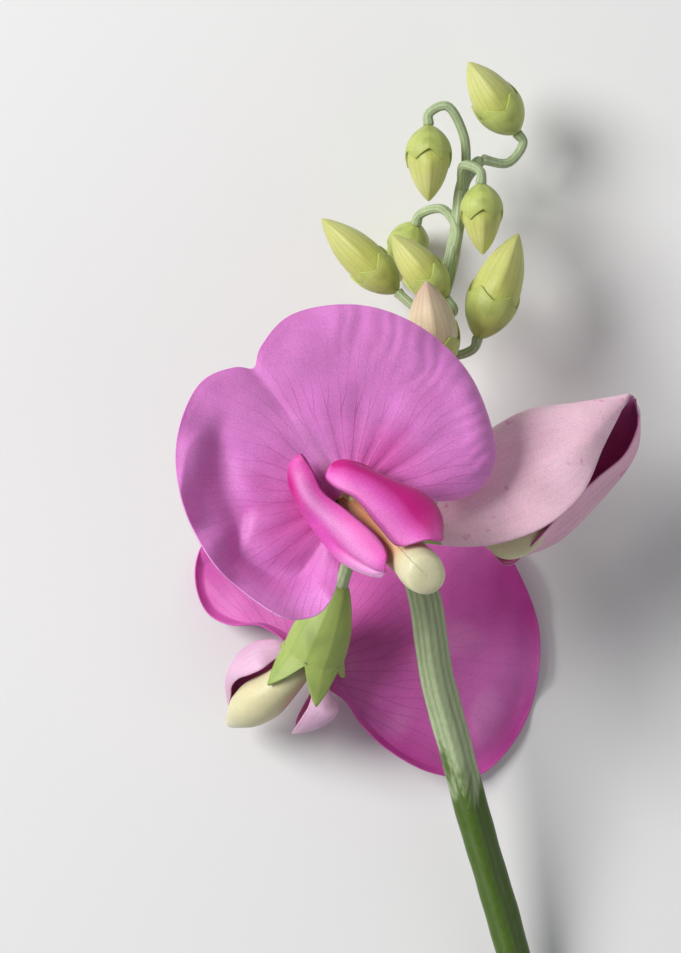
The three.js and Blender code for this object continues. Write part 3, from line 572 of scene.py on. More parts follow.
def claw(name, place, path, half_width=STRIP_HALF_WIDTH):
    """The narrow strip, a little hollow, that holds a standard in its calyx."""
    t, v = np.linspace(0, 1, 60)[:, None], np.linspace(-1, 1, 18)[None]
    line = spline(path, t[:, 0])
    middle = place(half_width * v + 0 * t, line[:, :1] + 0 * v, line[:, 1:] - CLAW_HOLLOW * (1 - v * v))
    vein = together(v * 2 + 0 * t, 0, half_width / 2)
    tint = together(0 * v * t, 0, 0.4)
    return sheet(name, middle, PETAL, {"vein": vein, "tint": tint})


claw_tissue = tissue(
    "sweet pea petal claw, yellow-green", ground="#cfd08a", deep="#cfd08a", pale="#e6e6b4", vein="#a8a860",
    back="#cfd08a", roughness=0.45, cell_tint=0.04, glow="#d8d080")
print("a claw's strip is", 2 * STRIP_HALF_WIDTH, "mm wide")

# %% [markdown]
# ### The front flower's standard
#
# It stands flat to the eye. Its left margin rolls up into a lip, its right margin rolls away,
# and a crease runs down from the notch. Dark veins fan over a lilac ground, with a magenta
# flush on either side of the claw and a whitish streak between. The right flush is deepened
# next to the upper wing by a painted shadow of that wing, and a band of painted shade lies
# inside the lip. Cloth simulation would give folds that no one chose. Here each fold is a line
# of its own, in the order that one would add them with a brush: lip, groove, rolled side,
# pleats, channels, crease, swells.

# %% Front standard shape
FRONT_NARROWED = 0.967    # its rolled margins take this much of its width
FRONT_OUTLINE = mirrored([
    [0, 13.4], [1.4, 14.4], [4.8, 15.2], [8.6, 13.9], [12.0, 11.2], [14.4, 7.0], [15.2, 2.1],
    [14.2, -2.4], [12.4, -5.6], [9.8, -6.8], [7.0, -6.1], [5.2, -4.6], [3.8, -2.8], [2.6, -1.2],
    [1.3, -0.2], [0.5, -0.2],
], 0.87)


def front_height(x, y):
    """A shallow dish whose left side curls up."""
    reach = np.hypot(x, y - 3) / 14
    curl = np.maximum(0, -x - 8) / 7
    return 0.9 * reach ** 2 + 1.2 * curl ** 2 - 0.2 * np.exp(-x * x / 3)


def front_relief(x, y, inset, reach, angle):
    left = rise(-x, 3.0, 8.0) * rise(-reach, -16.5, -13.0) + rise(-x, 5.0, 9.0) * 0.5
    wave = 1 + 0.3 * ripple(y, 0 * x, 8, 11) + 0.14 * ripple(y, x, 3, 19)
    lip = 2.1 * np.clip(left, 0, 1) * wave * np.maximum(0, 1 - inset / 3.6) ** 1.3
    groove = -0.6 * np.clip(left, 0, 1) * hill(inset, 4.0, 1.3)
    rolled = -1.6 * rise(x, 2.0, 8.0) * np.maximum(0, 1 - inset / 3.4) ** 2
    outward = rise(-inset, -7, -0.5) * rise(reach, 8, 12)
    pleats = 0.035 * np.sin(angle * 26 + ripple(x, y, 6, 12)) * outward
    pleats = pleats + 0.045 * np.sin(angle * 61 + 2 * ripple(x, y, 4, 15)) * outward * rise(x, 4, 10)
    channels = 0.05 * np.cos(angle * 2 * math.pi / VEIN_ANGLE)
    channels = channels * rise(reach, 1.5, 4) * (1 - rise(reach, 7, 12))
    crease = -0.3 * hill(x, 0, 0.6) * rise(y, 5, 10)
    swells = 0.14 * ripple(x, y, 6.5, 13) * rise(reach, 4, 9)
    return lip + groove + rolled + pleats + channels + crease + swells


front_bent = blade_place(FRONT, reflex=42, twist=7, height_at=front_height)
print("the front standard's notch, mm:", front_bent(0, 13.4, 0).round(1))


# %% [markdown]
# ### Its colour
#
# The flushes, the streak and the green base are sums of soft hills round the claw, so each
# can be moved by one number. Painting them as vertex colours by hand would be less even.
#
# One thing is not as it should be. The face that looks up is marked as the outer one, so it
# shows the petal's back, with fainter veins and a fainter flush than these marks give.
# Passing inner=1.0 to `sheet` for this petal would give the eye its inner face.

# %% Front standard colour
def front_tint(x, y, inset, reach, angle):
    tongues = 0.93 + 0.05 * np.cos(angle * 2 * math.pi / VEIN_ANGLE) + 0.06 * ripple(x, y, 4, 16)
    # The right flush is the petal's own magenta, deepened next to the upper wing by a painted shadow of that
    # wing.
    flush_and_wing_shadow = hill(angle, 1.35, 0.66) * (1 - rise(reach * tongues, 2.8, 8.6))
    left_flush = hill(angle, -1.3, 0.72) * (1 - rise(reach * tongues, 3.8, 9.6))
    # A band of painted shade inside the rolled lip on the left, where the lip shades the petal.
    painted_lip_shade = 0.45 * rise(-x, 6, 10) * hill(inset, 2.8, 1.2) * (0.9 + 0.12 * ripple(y, x, 4, 17))
    deep = 1.35 * flush_and_wing_shadow + 1.5 * left_flush + painted_lip_shade + 0.1 * ripple(x, y, 5, 14)
    streak = 0.9 * hill(x, 0.1, 0.75) * (1 - rise(y, 3, 9)) + 0.35 * hill(x, 0, 1.4) * rise(y, 7, 12)
    streak = streak + 0.4 * hill(x, -0.6, 2.4) * rise(y, 3, 5) * (1 - rise(y, 8, 13))
    lobes = 0.35 * rise(reach, 8, 13) + 0.5 * rise(-y, 0.5, 5) * rise(-x, 3, 8)
    pale = np.clip(streak + lobes * (1 - painted_lip_shade), 0, 1)
    green = hill(x, 0, 0.7) * (1 - rise(y, 2.0, 5.0))
    patchy = 0.75 + 0.35 * ripple(x, y, 5, 18)
    veining = rise(reach, 0.8, 2.2) * (1 - 0.85 * rise(reach, 7, 15)) * patchy * (1 - green)
    return deep, np.where(green > 0.02, pale * (1 - green) + 2 * green, pale), 0.68 * veining


standard_tissue = tissue(
    "sweet pea standard, silky lilac-pink face", ground="#e390da", deep="#c9158a", pale="#f2c6ea",
    vein="#a8267f", back="#d77cc8", vein_width=0.085, relief=0.03, cell_tint=0.12)
front_standard = open_standard(
    "petal_standard_front", FRONT_OUTLINE, front_bent, front_relief, front_tint, seed=1,
    narrowed=FRONT_NARROWED)
dress(front_standard, "standard_front", standard_tissue)
dress(claw("petal_claw_front", FRONT, STRAIGHT_CLAW), "standard_front", claw_tissue)

# %% [markdown]
# ### The low flower's standard
#
# This flower hangs face down, so the eye meets the back of its standard, a smooth deep pink.
# Both lobes droop until they lie on the table. It is made as the front one is, and only its
# outline, its height and its colours differ. Its halves are unlike, so the outline is whole.

# %% Low standard
LOW_OUTLINE = [
    [-1.0, 20.8], [-3.7, 21.7], [-7.5, 20.9], [-12.8, 18.3], [-16.8, 13.3], [-18.3, 8.4], [-17.9, 4.5],
    [-14.7, 1.7], [-10.3, 0.4], [-7.1, 0.4], [-4.8, 0.9], [-3.0, 0.6], [-1.3, 0.1], [-0.5, -0.1],
    [0.5, -0.1], [1.3, 0.1], [3.2, 0.9], [6.1, 0.3], [7.9, -1.4], [10.2, -2.1],
    [12.6, -1.3], [14.8, 0.8], [16.3, 4.8], [15.6, 10.4], [12.0, 16.4], [6.2, 20.4], [1.6, 20.4],
]
CALYX_CLEARANCE = 1.4


def low_height(x, y):
    """Clear of the calyx in the middle, drooping more on the left."""
    droop = np.where(x < 0, 5.0, 3.6)
    return CALYX_CLEARANCE + droop * (x / 16) ** 2 + 0.006 * y * y


def low_relief(x, y, inset, reach, angle):
    rolled = -0.9 * np.maximum(0, 1 - inset / 1.8) ** 2
    swells = 0.25 * ripple(x, y, 8, 21) * rise(reach, 5, 10)
    ripples = 0.12 * np.sin(angle * 20 + ripple(x, y, 6, 22)) * rise(-inset, -6, -0.5) * rise(reach, 8, 12)
    return rolled + swells + ripples


def low_tint(x, y, inset, reach, angle):
    deep = 0.45 + 0.35 * ripple(x, y, 12, 23) + 0.3 * rise(-inset, -3, 0)
    pale = 0.25 * rise(ripple(x, y, 9, 24), 0.2, 1.0) * rise(inset, 1, 4)
    return deep, pale, 0.3 * rise(inset, 0.5, 3) * (1 - 0.6 * rise(reach, 8, 16))


low_tissue = tissue(
    "sweet pea standard, deep pink back", ground="#dc74c2", deep="#bf3f9a", pale="#eeb0dc",
    vein="#9a3580", back="#dc6ac2", vein_width=0.085)
low_bent = blade_place(LOW, reflex=24, twist=0, height_at=low_height)
low_standard = open_standard("petal_standard_low", LOW_OUTLINE, low_bent, low_relief, low_tint, seed=4)
dress(low_standard, "standard_low", low_tissue)
dress(claw("petal_claw_low", LOW, STRAIGHT_CLAW), "standard_low", claw_tissue)

# %% [markdown]
# ## Petals drawn by ribs
#
# Wings, and a standard that has not opened yet, are too folded for a flat outline. Each is
# drawn by ribs that run along it, and the surface passes through them, as a loft does in a
# CAD program. A NURBS surface is only drawn toward its control points and would not touch
# the ribs, so the surface is worked out here. Near its end the petal narrows in an ellipse,
# which rounds the tip.

# %% Ribbed petals
def ribbed(place, ribs, rows, columns, hand, blunt):
    """Grid points of a petal through its ribs, with v across it and t along it."""
    t = np.linspace(0, 1, rows)
    curves = np.stack([spline(rib, t) for rib in ribs], 1)
    v = np.linspace(0, 1, columns)[None]
    end = np.clip((t - 1 + blunt) / blunt, 0, 1)[:, None]
    width = np.sqrt(np.maximum(0.03, 1 - end ** 2))
    v_here = 0.5 + (v - 0.5) * width
    if len(ribs) == 3:
        w = v_here[..., None]
        near, crest, far = (curves[:, None, k] for k in range(3))
        points = near * (2 * w * w - 3 * w + 1) + crest * (4 * w - 4 * w * w) + far * (2 * w * w - w)
    else:
        points = np.stack([spline(*row) for row in zip(curves, v_here)])
    points[..., 0] *= hand
    return place(points), t[:, None] + 0 * v, v_here


def ribbed_petal(name, place, ribs, tint_at, rows=130, columns=64, hand=1, blunt=0.13, veins=7,
                 inner=0.0, relief_at=None):
    """A petal through its ribs. Its relief is pushed outward, to the side that its crown is on."""
    middle, t, v = ribbed(place, ribs, rows, columns, hand, blunt)
    if relief_at:
        out = np.cross(np.gradient(middle, axis=0), np.gradient(middle, axis=1))
        out /= np.linalg.norm(out, axis=-1, keepdims=True)
        crown = middle[rows // 2, columns // 2] - middle[rows // 2, [0, -1]].mean(0)
        out *= np.sign(out[rows // 2, columns // 2].dot(crown))
        middle = middle + out * relief_at(t, v)[..., None]
    width = np.linalg.norm(np.diff(middle, axis=1), axis=-1).sum(1)[:, None]
    steady = np.minimum(1, 10 * np.minimum(v, 1 - v))
    count = v * veins + 0.12 * ripple(t * 12, v * 5, 4, 3) * steady
    apart = width / veins * (1 - 0.7 * hill(v, 0, 0.03) - 0.7 * hill(v, 1, 0.03))
    vein = together(count, 2.6 * rise(t, 0.15, 0.9) * steady, apart)
    tint = np.clip(together(*tint_at(t, v)), 0, 1)
    edge = np.minimum(v, 1 - v) * width
    thickness = PETAL * (0.5 + 0.5 * rise(edge, 0, 0.6))
    return sheet(name, middle, thickness, {"vein": vein, "tint": tint}, inner=inner)


def in_flower(place):
    """The same place function for points given as three numbers together."""
    return lambda p: place(p[..., 0], p[..., 1], p[..., 2])


# %% [markdown]
# ## Wings
#
# The wings are the flower's landing place for bees. They are a stronger pink than the
# standard, deepest at the shoulder, with a fine dark rim. Each rises from a narrow claw to a
# rounded shoulder and lies along the keel. In the front flower they differ: the lower one
# has its shoulder thrown back over the standard and a crease near its end. In the low flower
# one wing is shorter. Each wing has three ribs: its upper margin, its crest and its lower
# margin. A rib's points are (to the side, forward, toward the back).

# %% Wing ribs
FRONT_UPPER_WING = [
    [[1.7, -1.4, 0.6], [1.7, 0.8, 0.6], [1.7, 2.6, 1.2], [1.0, 2.5, 3.6], [0.27, 2.46, 5.2],
     [-0.37, 2.75, 5.4], [-0.5, 4.2, 5.35], [0.1, 6.6, 4.9], [-0.05, 9.6, 3.9], [0.0, 12.0, 2.9],
     [1.5, 13.4, 2.0]],
    [[1.8, -1.4, 0.0], [1.8, 0.8, 0.0], [2.1, 2.6, 0.6], [2.0, 2.4, 3.4], [1.7, 2.5, 4.6],
     [1.9, 3.0, 4.8], [2.7, 3.7, 4.6], [3.6, 6.0, 3.0], [4.5, 8.6, 1.9], [4.1, 10.9, 1.3],
     [2.8, 13.2, 1.2]],
    [[1.75, -1.4, -0.6], [1.75, 0.8, -0.6], [2.0, 2.6, -0.2], [2.2, 3.0, 1.6], [2.2, 3.4, 2.2],
     [2.5, 3.9, 2.0], [2.6, 4.6, 0.6], [2.6, 6.6, -1.6], [2.6, 9.0, -2.4], [2.7, 11.2, -1.6],
     [2.6, 12.9, -0.1]],
]
FRONT_LOWER_WING = [
    [[1.7, -1.4, 0.6], [1.7, 0.8, 0.6], [1.75, 3.1, 1.2], [1.5, 3.4, 2.5], [0.9, 1.4, 4.65],
     [0.5, 0.2, 5.75], [0.5, 0.45, 6.8], [0.8, 1.9, 5.95], [1.4, 3.3, 4.7], [1.0, 5.8, 3.4],
     [0.65, 9.6, 2.7], [1.1, 11.4, 2.3], [1.7, 11.9, 1.6]],
    [[1.8, -1.4, 0.0], [1.8, 0.8, 0.0], [2.2, 3.4, 0.3], [2.5, 3.5, 2.3], [2.4, 2.2, 3.6],
     [2.5, 1.1, 4.5], [3.0, 0.8, 5.4], [3.3, 1.7, 5.3], [3.8, 3.0, 4.3], [4.0, 4.4, 2.8],
     [4.2, 6.9, 1.0], [3.3, 10.0, 0.5], [2.4, 11.5, 0.9]],
    [[1.75, -1.4, -0.6], [1.75, 0.8, -0.6], [2.1, 3.3, -0.8], [2.7, 4.0, 0.2], [3.0, 4.2, 0.8],
     [3.3, 4.3, 1.3], [3.7, 4.5, 1.5], [4.0, 4.9, 1.2], [4.0, 5.3, 0.6], [3.8, 5.9, -0.2],
     [3.2, 7.2, -1.3], [2.6, 9.6, -1.3], [2.5, 11.2, 0.2]],
]
LOW_UPPER_WING = [
    [[1.7, -1.4, 0.6], [1.7, 0.8, 0.6], [1.7, 2.9, 1.0], [1.6, 3.4, 2.6], [1.9, 4.2, 2.6],
     [2.2, 5.6, 2.4], [2.6, 7.2, 1.8], [2.5, 8.8, 0.9]],
    [[1.8, -1.4, 0.0], [1.8, 0.8, 0.0], [3.4, 1.6, 0.0], [4.6, 2.9, 0.0], [5.1, 4.4, -0.1],
     [4.9, 6.2, -0.1], [4.1, 8.1, 0.1], [2.8, 9.7, 0.4]],
    [[1.75, -1.4, -0.6], [1.75, 0.8, -0.6], [2.2, 2.4, -1.4], [2.4, 3.6, -2.3], [2.9, 4.8, -2.4],
     [3.5, 6.1, -2.0], [3.5, 7.6, -1.2], [2.4, 9.0, -0.2]],
]
LOW_LOWER_WING = [
    [[1.7, -1.4, 0.6], [1.7, 0.8, 0.6], [1.7, 2.9, 1.0], [1.6, 3.4, 2.6], [1.9, 4.2, 2.6],
     [2.2, 5.4, 2.3], [2.6, 6.5, 1.8], [3.1, 7.2, 1.0]],
    [[1.8, -1.4, 0.0], [1.8, 0.8, 0.0], [3.4, 1.5, -0.1], [5.0, 2.2, -0.1], [5.1, 3.4, -0.1],
     [4.7, 4.8, 0.0], [4.0, 6.1, 0.2], [3.2, 7.3, 0.5]],
    [[1.75, -1.4, -0.6], [1.75, 0.8, -0.6], [2.4, 2.2, -1.2], [3.0, 3.2, -1.8], [3.2, 4.2, -1.9],
     [3.3, 5.2, -1.6], [3.3, 6.3, -0.8], [3.1, 7.3, 0.1]],
]
SIDE_WING = [
    [[1.7, -1.4, 0.6], [1.7, 0.8, 0.6], [1.6, 2.6, 1.2], [1.5, 4.2, 3.0], [1.4, 6.4, 4.6],
     [1.3, 8.8, 5.8], [1.2, 10.8, 6.0]],
    [[1.8, -1.4, 0.0], [1.8, 0.8, 0.0], [2.0, 2.8, 0.2], [2.6, 4.6, 1.2], [2.9, 6.8, 2.6],
     [2.6, 9.2, 4.0], [1.8, 11.2, 5.2]],
    [[1.75, -1.4, -0.6], [1.75, 0.8, -0.6], [2.0, 2.8, -0.9], [2.4, 4.6, -1.0], [2.6, 7.2, 0.0],
     [2.4, 9.6, 2.2], [1.9, 11.2, 4.2]],
]
print("points on the front flower's wing ribs:", len(FRONT_UPPER_WING[0]), len(FRONT_LOWER_WING[0]))

# %% [markdown]
# ### Wing colour and folds
#
# t runs from the claw to the end and v from the upper margin over the crest to the lower one,
# so a colour or a fold is placed along and across the petal in shares of its size. Painting
# it by hand on the mesh would be lost each time the ribs are changed.

# %% Wing tissue
wing_tissue = tissue(
    "sweet pea wing, silky magenta-pink", ground="#e45cbe", deep="#c2187f", pale="#efaee0",
    vein="#7c1458", back="#e070c4", vein_width=0.09, relief=0.035, cell_tint=0.13)
low_wing_tissue = tissue(
    "sweet pea wing, pale pink outside", ground="#d6a2c4", deep="#b4488f", pale="#e4c8d8",
    vein="#b05a98", back="#c455a0", vein_width=0.08, cell_tint=0.06)
print("wing tissue:", wing_tissue.name)


# %% Wing marks
def rim(v):
    """The fine dark line along both margins."""
    return hill(v, 0, 0.02) + hill(v, 1, 0.02)


def upper_wing_tint(t, v):
    # Deep magenta over the crest: partly the wing's own colour, partly painted shade on its shaded side.
    crown = 1.3 * rise(v, 0.08, 0.32) * (1 - 0.35 * rise(t, 0.85, 1)) + 0.5 * hill(t, 0.40, 0.08)
    cloud = 0.16 * ripple(t * 12, v * 8, 3.5, 21)
    pale = 0.9 * rise(-t, -0.2, 0) + 0.3 * hill(v, 0.06, 0.06) * rise(t, 0.45, 0.6) + 0.15 * rise(t, 0.85, 1)
    return crown + cloud, pale, 0.02 + 0.9 * rim(v)


def lower_wing_tint(t, v):
    nose = (0.3 + 0.6 * rise(v, 0.2, 0.45)) * hill(t, 0.5, 0.18) + 0.3 * hill(v, 0.04, 0.05)
    # The dark line along the crease near the wing's end is painted shade.
    crease = 0.8 * hill(v, 0.37, 0.035) * rise(t, 0.78, 0.9)
    cloud = 0.14 * ripple(t * 12, v * 8, 3.5, 22)
    # The pale band along the swell is a painted highlight.
    pale = 0.9 * rise(-t, -0.2, 0) + 0.55 * hill(v, 0.2, 0.09) * rise(t, 0.5, 0.65) * (1 - rise(t, 0.85, 1))
    pale = pale + 0.85 * rise(v, 0.38, 0.44) * rise(t, 0.78, 0.9)
    return nose + crease + cloud, pale, 0.02 + 0.9 * rim(v)


def upper_wing_relief(t, v):
    waist = -0.3 * hill(t, 0.62, 0.06) * rise(v, 0.2, 0.45)
    return waist + 0.14 * ripple(t * 10, v * 6, 3, 23) * rise(t, 0.4, 0.5)


def lower_wing_relief(t, v):
    crease = -0.45 * hill(v, 0.37, 0.045) * rise(t, 0.76, 0.88) * (1 - rise(t, 0.92, 1))
    swell = 0.4 * hill(v, 0.2, 0.1) * rise(t, 0.55, 0.75) * (1 - rise(t, 0.88, 1))
    return crease + swell + 0.1 * ripple(t * 10, v * 6, 3, 24) * rise(t, 0.4, 0.5)


def low_wing_tint(t, v):
    return 0.5 * rise(t, 0.2, 0.8) * rise(-v, -0.6, 0), 0.5 * rise(v, 0.4, 0.9), 0.1


def side_wing_tint(t, v):
    return 0.75, 0.8 * rise(-t, -0.2, 0), 0.3


# %% The six wings
for name, flower, ribs, hand, tint_at, relief_at, material in (
    ("wing_a_front", FRONT, FRONT_UPPER_WING, 1, upper_wing_tint, upper_wing_relief, wing_tissue),
    ("wing_b_front", FRONT, FRONT_LOWER_WING, -1, lower_wing_tint, lower_wing_relief, wing_tissue),
    ("wing_a_low", LOW, LOW_UPPER_WING, 1, low_wing_tint, None, low_wing_tissue),
    ("wing_b_low", LOW, LOW_LOWER_WING, -1, low_wing_tint, None, low_wing_tissue),
    ("wing_a_side", SIDE, SIDE_WING, 1, side_wing_tint, None, wing_tissue),
    ("wing_b_side", SIDE, SIDE_WING, -1, side_wing_tint, None, wing_tissue),
):
    petal = ribbed_petal(
        "petal_" + name, in_flower(flower), ribs, tint_at, hand=hand, inner=1.0 if hand > 0 else 0.0,
        relief_at=relief_at)
    dress(petal, name, material)

# %% [markdown]
# ## The half-open standard
#
# In the side flower the standard is still folded along its midline like a clam. Its outside
# is a pale pink, nearly white, with a few magenta specks, and its lining a deep magenta that
# shows only in the opening. Seven ribs run from the near margin over the fold to the far one.
# Bending the open standard shut would crush it at the fold, so this one has its own ribs.

# %% Side standard
SIDE_RIBS = [
    [[9.0, -6.1, 18.6], [11.6, -6.2, 19.6], [14.4, -5.8, 20.2], [18.2, -4.3, 20.6], [21.3, -1.5, 20.2],
     [23.3, 2.7, 18.6], [25.2, 6.2, 16.6]],
    [[8.6, -3.9, 19.0], [10.4, -2.4, 19.8], [13.2, -0.9, 20.4], [16.7, 0.6, 20.6], [20.4, 2.6, 20.0],
     [23.0, 4.6, 18.6], [25.5, 6.9, 16.2]],
    [[9.0, 0.1, 16.2], [11.0, 1.9, 16.6], [13.4, 4.0, 17.0], [16.6, 5.7, 17.2], [20.9, 6.4, 17.0],
     [23.8, 6.9, 16.4], [25.9, 7.3, 15.5]],
    [[9.0, -0.6, 12.6], [11.2, 0.6, 11.4], [13.8, 1.8, 10.6], [17.0, 3.0, 10.4], [21.3, 4.2, 10.8],
     [24.6, 5.6, 12.4], [26.3, 7.1, 14.6]],
    [[9.0, -3.6, 11.2], [12.0, -3.4, 9.6], [14.8, -2.8, 8.4], [18.2, -1.6, 8.0], [22.6, 0.6, 8.6],
     [25.8, 3.6, 10.8], [26.6, 6.6, 14.1]],
    [[9.2, -4.4, 11.4], [12.6, -4.9, 9.8], [15.4, -6.8, 9.8], [19.2, -6.0, 10.4], [23.2, -2.4, 10.4],
     [26.6, 2.2, 12.0], [26.8, 6.0, 14.4]],
    [[9.4, -4.6, 11.6], [12.4, -5.2, 10.9], [14.9, -8.0, 12.4], [17.3, -5.9, 16.4], [20.2, -2.6, 17.0],
     [22.9, -0.1, 16.6], [25.4, 2.0, 15.8], [26.6, 4.4, 15.4], [26.7, 5.4, 15.3]],
]


def folded_tint(t, v):
    margin = np.maximum(hill(v, 0, 0.02), hill(v, 1, 0.02))
    deep = 0.6 * rise(v, 0.5, 0.8) + 0.15 * ripple(t * 12, v * 20, 6, 31)
    pale = 0.5 * (1 - rise(v, 0.25, 0.75)) + 0.5 * margin
    return deep, pale, 0.15 + 0.5 * rise(v, 0.4, 0.8)


folded_tissue = tissue(
    "sweet pea standard, unopened, magenta lining", ground="#ee7cc6", deep="#d8489f", pale="#f6b8dc",
    vein="#a84088", back="#f6d2dc", specks="#d868ae")
folded = ribbed_petal(
    "petal_standard_side", lambda p: p, SIDE_RIBS, folded_tint, columns=180, blunt=0.001, veins=18)
dress(folded, "standard_side", folded_tissue)
SIDE_CLAW_PATH = [[-1.6, 1.5], [1.2, 1.5], [2.4, 2.2], [2.6, 4.2], [2.3, 5.6], [2.1, 6.6]]
dress(claw("petal_claw_side", SIDE, SIDE_CLAW_PATH, half_width=0.9), "standard_side", claw_tissue)

# %% [markdown]
# ## Keel and stamens
#
# Two petals are joined into a boat that turns up at its end. Their free margins meet along
# the top, and the stamens lie inside round the style. The keel is a waxy cream, thin enough
# that light glows through it. The orange along its top is a painted glow, for the pink light
# that the wings throw onto it.
#
# A boat could be made from a stretched sphere, but its end is blunt and its belly low, so it
# is drawn by a line instead. Each point of a keel's line is (forward, toward the back, half
# width, half depth). Sections go round from one margin to the other, so the keel has a seam.

# %% Keel and stamen tissue
# The keel's deep colour, orange, serves only as a painted glow of pink light along its top.
keel_tissue = tissue(
    "sweet pea keel, waxy cream", ground="#dad3a8", deep="#d98c5e", pale="#e2deba", vein="#b4b074",
    back="#e6d2a8", roughness=0.42, cell_tint=0.06, glow="#f0d090")
stamen_tissue = tissue(
    "sweet pea stamen tube, pale yellow-green", ground="#dcd79a", deep="#b7b56a", pale="#eeeac0",
    vein="#b7b56a", back="#dcd79a", roughness=0.45, cell_tint=0.05, glow="#e8d880")
print("keel tissue:", keel_tissue.name)

# %% Keel and stamen lines
KEEL_LINES = {
    "front": [
        [-2.2, -1.0, 0.85, 0.65], [0, -1.0, 0.95, 0.75], [2.4, -1.1, 1.3, 1.6], [5.4, -1.0, 1.6, 2.4],
        [8.6, -0.8, 1.8, 2.7], [11.4, -0.6, 1.8, 2.4], [13.0, 0.0, 1.9, 2.2], [14.1, 0.6, 1.75, 1.9],
        [14.8, 1.1, 1.5, 1.6]],
    "low": [
        [-2.2, -1.0, 0.85, 0.65], [0, -1.0, 0.95, 0.75], [2.0, -1.0, 1.4, 1.5], [4.2, -0.9, 1.8, 2.2],
        [6.4, -0.8, 2.15, 2.4], [8.2, -0.3, 1.9, 2.1], [9.6, 0.3, 1.25, 1.4], [10.7, 0.9, 0.7, 0.8],
        [11.3, 1.4, 0.35, 0.4]],
    "side": [
        [-2.2, -1.0, 0.85, 0.65], [0, -1.0, 0.95, 0.75], [2.0, -1.3, 1.25, 1.7], [3.4, -1.7, 1.35, 2.2],
        [4.7, -1.2, 1.3, 2.1], [5.7, 0.1, 1.2, 1.5], [6.3, 1.3, 1.0, 1.2], [6.5, 2.3, 0.75, 0.9],
        [6.6, 3.0, 0.45, 0.5]],
}
STAMEN_LINES = {
    "front": [[-4.2, 0.3], [-1.0, 0.4], [2.0, 0.4], [6.0, 0.1], [9.6, 0.0], [12.0, 0.6], [13.2, 1.4]],
    "low": [[-4.2, 0.3], [-1.0, 0.4], [2.0, 0.3], [4.8, 0.1], [7.0, 0.2], [8.5, 0.7], [9.1, 1.2]],
    "side": [[-4.2, 0.3], [-1.0, 0.3], [1.4, -0.1], [3.2, -0.5], [4.3, -0.2], [5.1, 0.5], [5.4, 1.3]],
}
for name, line in KEEL_LINES.items():
    print(name, "keel reaches", line[-1][0], "mm forward")

# %% Keels
KEEL_END = 0.09           # share of the keel's length over which its blunt end closes
KEEL_LEAN = {"front": 0.0, "low": 1.5, "side": 0.0}      # mm to the side, 10 mm forward


def swept(forward, sweep):
    """How far a keel leans to one side at a distance forward."""
    return sweep * np.maximum(0, forward / 10) ** 1.5


def keel(name, place, line, sweep, rows=90, columns=80):
    """A boat whose two margins meet above, with rows packed toward its blunt end."""
    line = np.array(line)
    near_tip = np.sin(np.linspace(0, math.pi / 2 - 0.0005, 34))
    t = np.concatenate([np.linspace(0, 1 - KEEL_END, rows), 1 - KEEL_END + KEEL_END * near_tip[1:]])
    middle = spline(line[:, :2], t)
    way = np.gradient(middle, axis=0)
    way /= np.linalg.norm(way, axis=1, keepdims=True)
    size = spline(line[:, 2:], t)
    end = ((t - 1 + KEEL_END) / KEEL_END).clip(0, 1)
    closing = ((1 - end ** 3) ** (1 / 2.4))[:, None]
    angle = 2 * math.pi * np.linspace(0, 1, columns)[None] + 0 * t[:, None]
    half_width = (size[:, :1] - PETAL / 2) * closing
    half_depth = (size[:, 1:] - PETAL / 2) * closing
    across = half_width * np.sin(angle) + swept(middle[:, :1], sweep)
    up = half_depth * np.cos(angle)
    points = place(across, middle[:, :1] - up * way[:, 1:], middle[:, 1:] + up * way[:, :1])
    lip = np.minimum(angle / math.pi, 2 - angle / math.pi)
    # Painted glow: orange along the top margins, for the pink light from the wings.
    deep = 0.85 * hill(lip, 0, 0.3) * (1 - rise(t[:, None], 0.55, 0.85))
    seam = (np.abs(angle - math.pi) / math.pi - 0.6) * 1.2
    vein = together(seam, 0, 2.6 * half_width)
    tint = together(deep, 0.5 * rise(t[:, None], 0.5, 0.9), 0.5 * (1 - rise(t[:, None], 0.8, 0.9)))
    return sheet(name, points, PETAL, {"vein": vein, "tint": np.clip(tint, 0, 1)})


for name, flower in (("front", FRONT), ("low", LOW), ("side", SIDE)):
    boat = keel("petal_keel_" + name, flower, KEEL_LINES[name], KEEL_LEAN[name])
    dress(boat, "keel_" + name, keel_tissue)

# %% [markdown]
# ## Round stalks and tubes
#
# Stamens, stalk and flower stalks are all round things along a curve. A Blender curve with a
# bevel would make plain ones, but the points of its skin keep no marks. So `tube` carries a
# side direction along the curve, without letting it turn, and lays each ring out from it.

# %% Tubes
def carried_frames(points, steps):
    """Places and directions along a stalk, without any turning round it."""
    centre = evenly(points, steps)
    forward = np.gradient(centre, axis=0)
    forward /= np.linalg.norm(forward, axis=1, keepdims=True)
    side = np.array([1.0, 0, 0])
    sides = []
    for way in forward:
        side = side - side.dot(way) * way
        side /= np.linalg.norm(side)
        sides.append(side)
    sides = np.array(sides)
    return centre, sides, np.cross(sides, forward)


def tube(points, radius_at, steps, columns):
    """A stalk's skin, closed by a point at each end, with the share and angle of each point."""
    centre, side, up = carried_frames(points, steps)
    share = np.linspace(0, 1, steps)[:, None]
    angle = np.linspace(0, 2 * math.pi, columns, endpoint=False)[None]
    radius = radius_at(share, angle)[..., None] + 0 * angle[..., None]
    skin = centre[:, None] + side[:, None] * (radius * np.cos(angle)[..., None])
    skin = skin + up[:, None] * (radius * np.sin(angle)[..., None])
    corners = np.vstack([skin.reshape(-1, 3), centre[0], centre[-1]])
    return corners, capped_faces(steps, columns), share + 0 * angle, angle + 0 * share


def with_ends(values, first=(0, 0, 0), last=(0, 0, 0)):
    """The marks of a tube's grid, followed by those of its two end points."""
    return np.vstack([values.reshape(-1, 3), [first, last]])


# %% Stamen tubes
STAMEN_RADIUS = 0.55
FILAMENTS = 9             # that many filaments are joined, which ridges the tube


def stamen_radius(t, angle):
    return STAMEN_RADIUS * (1 - 0.35 * t) * (1 + 0.06 * np.cos(FILAMENTS * angle))


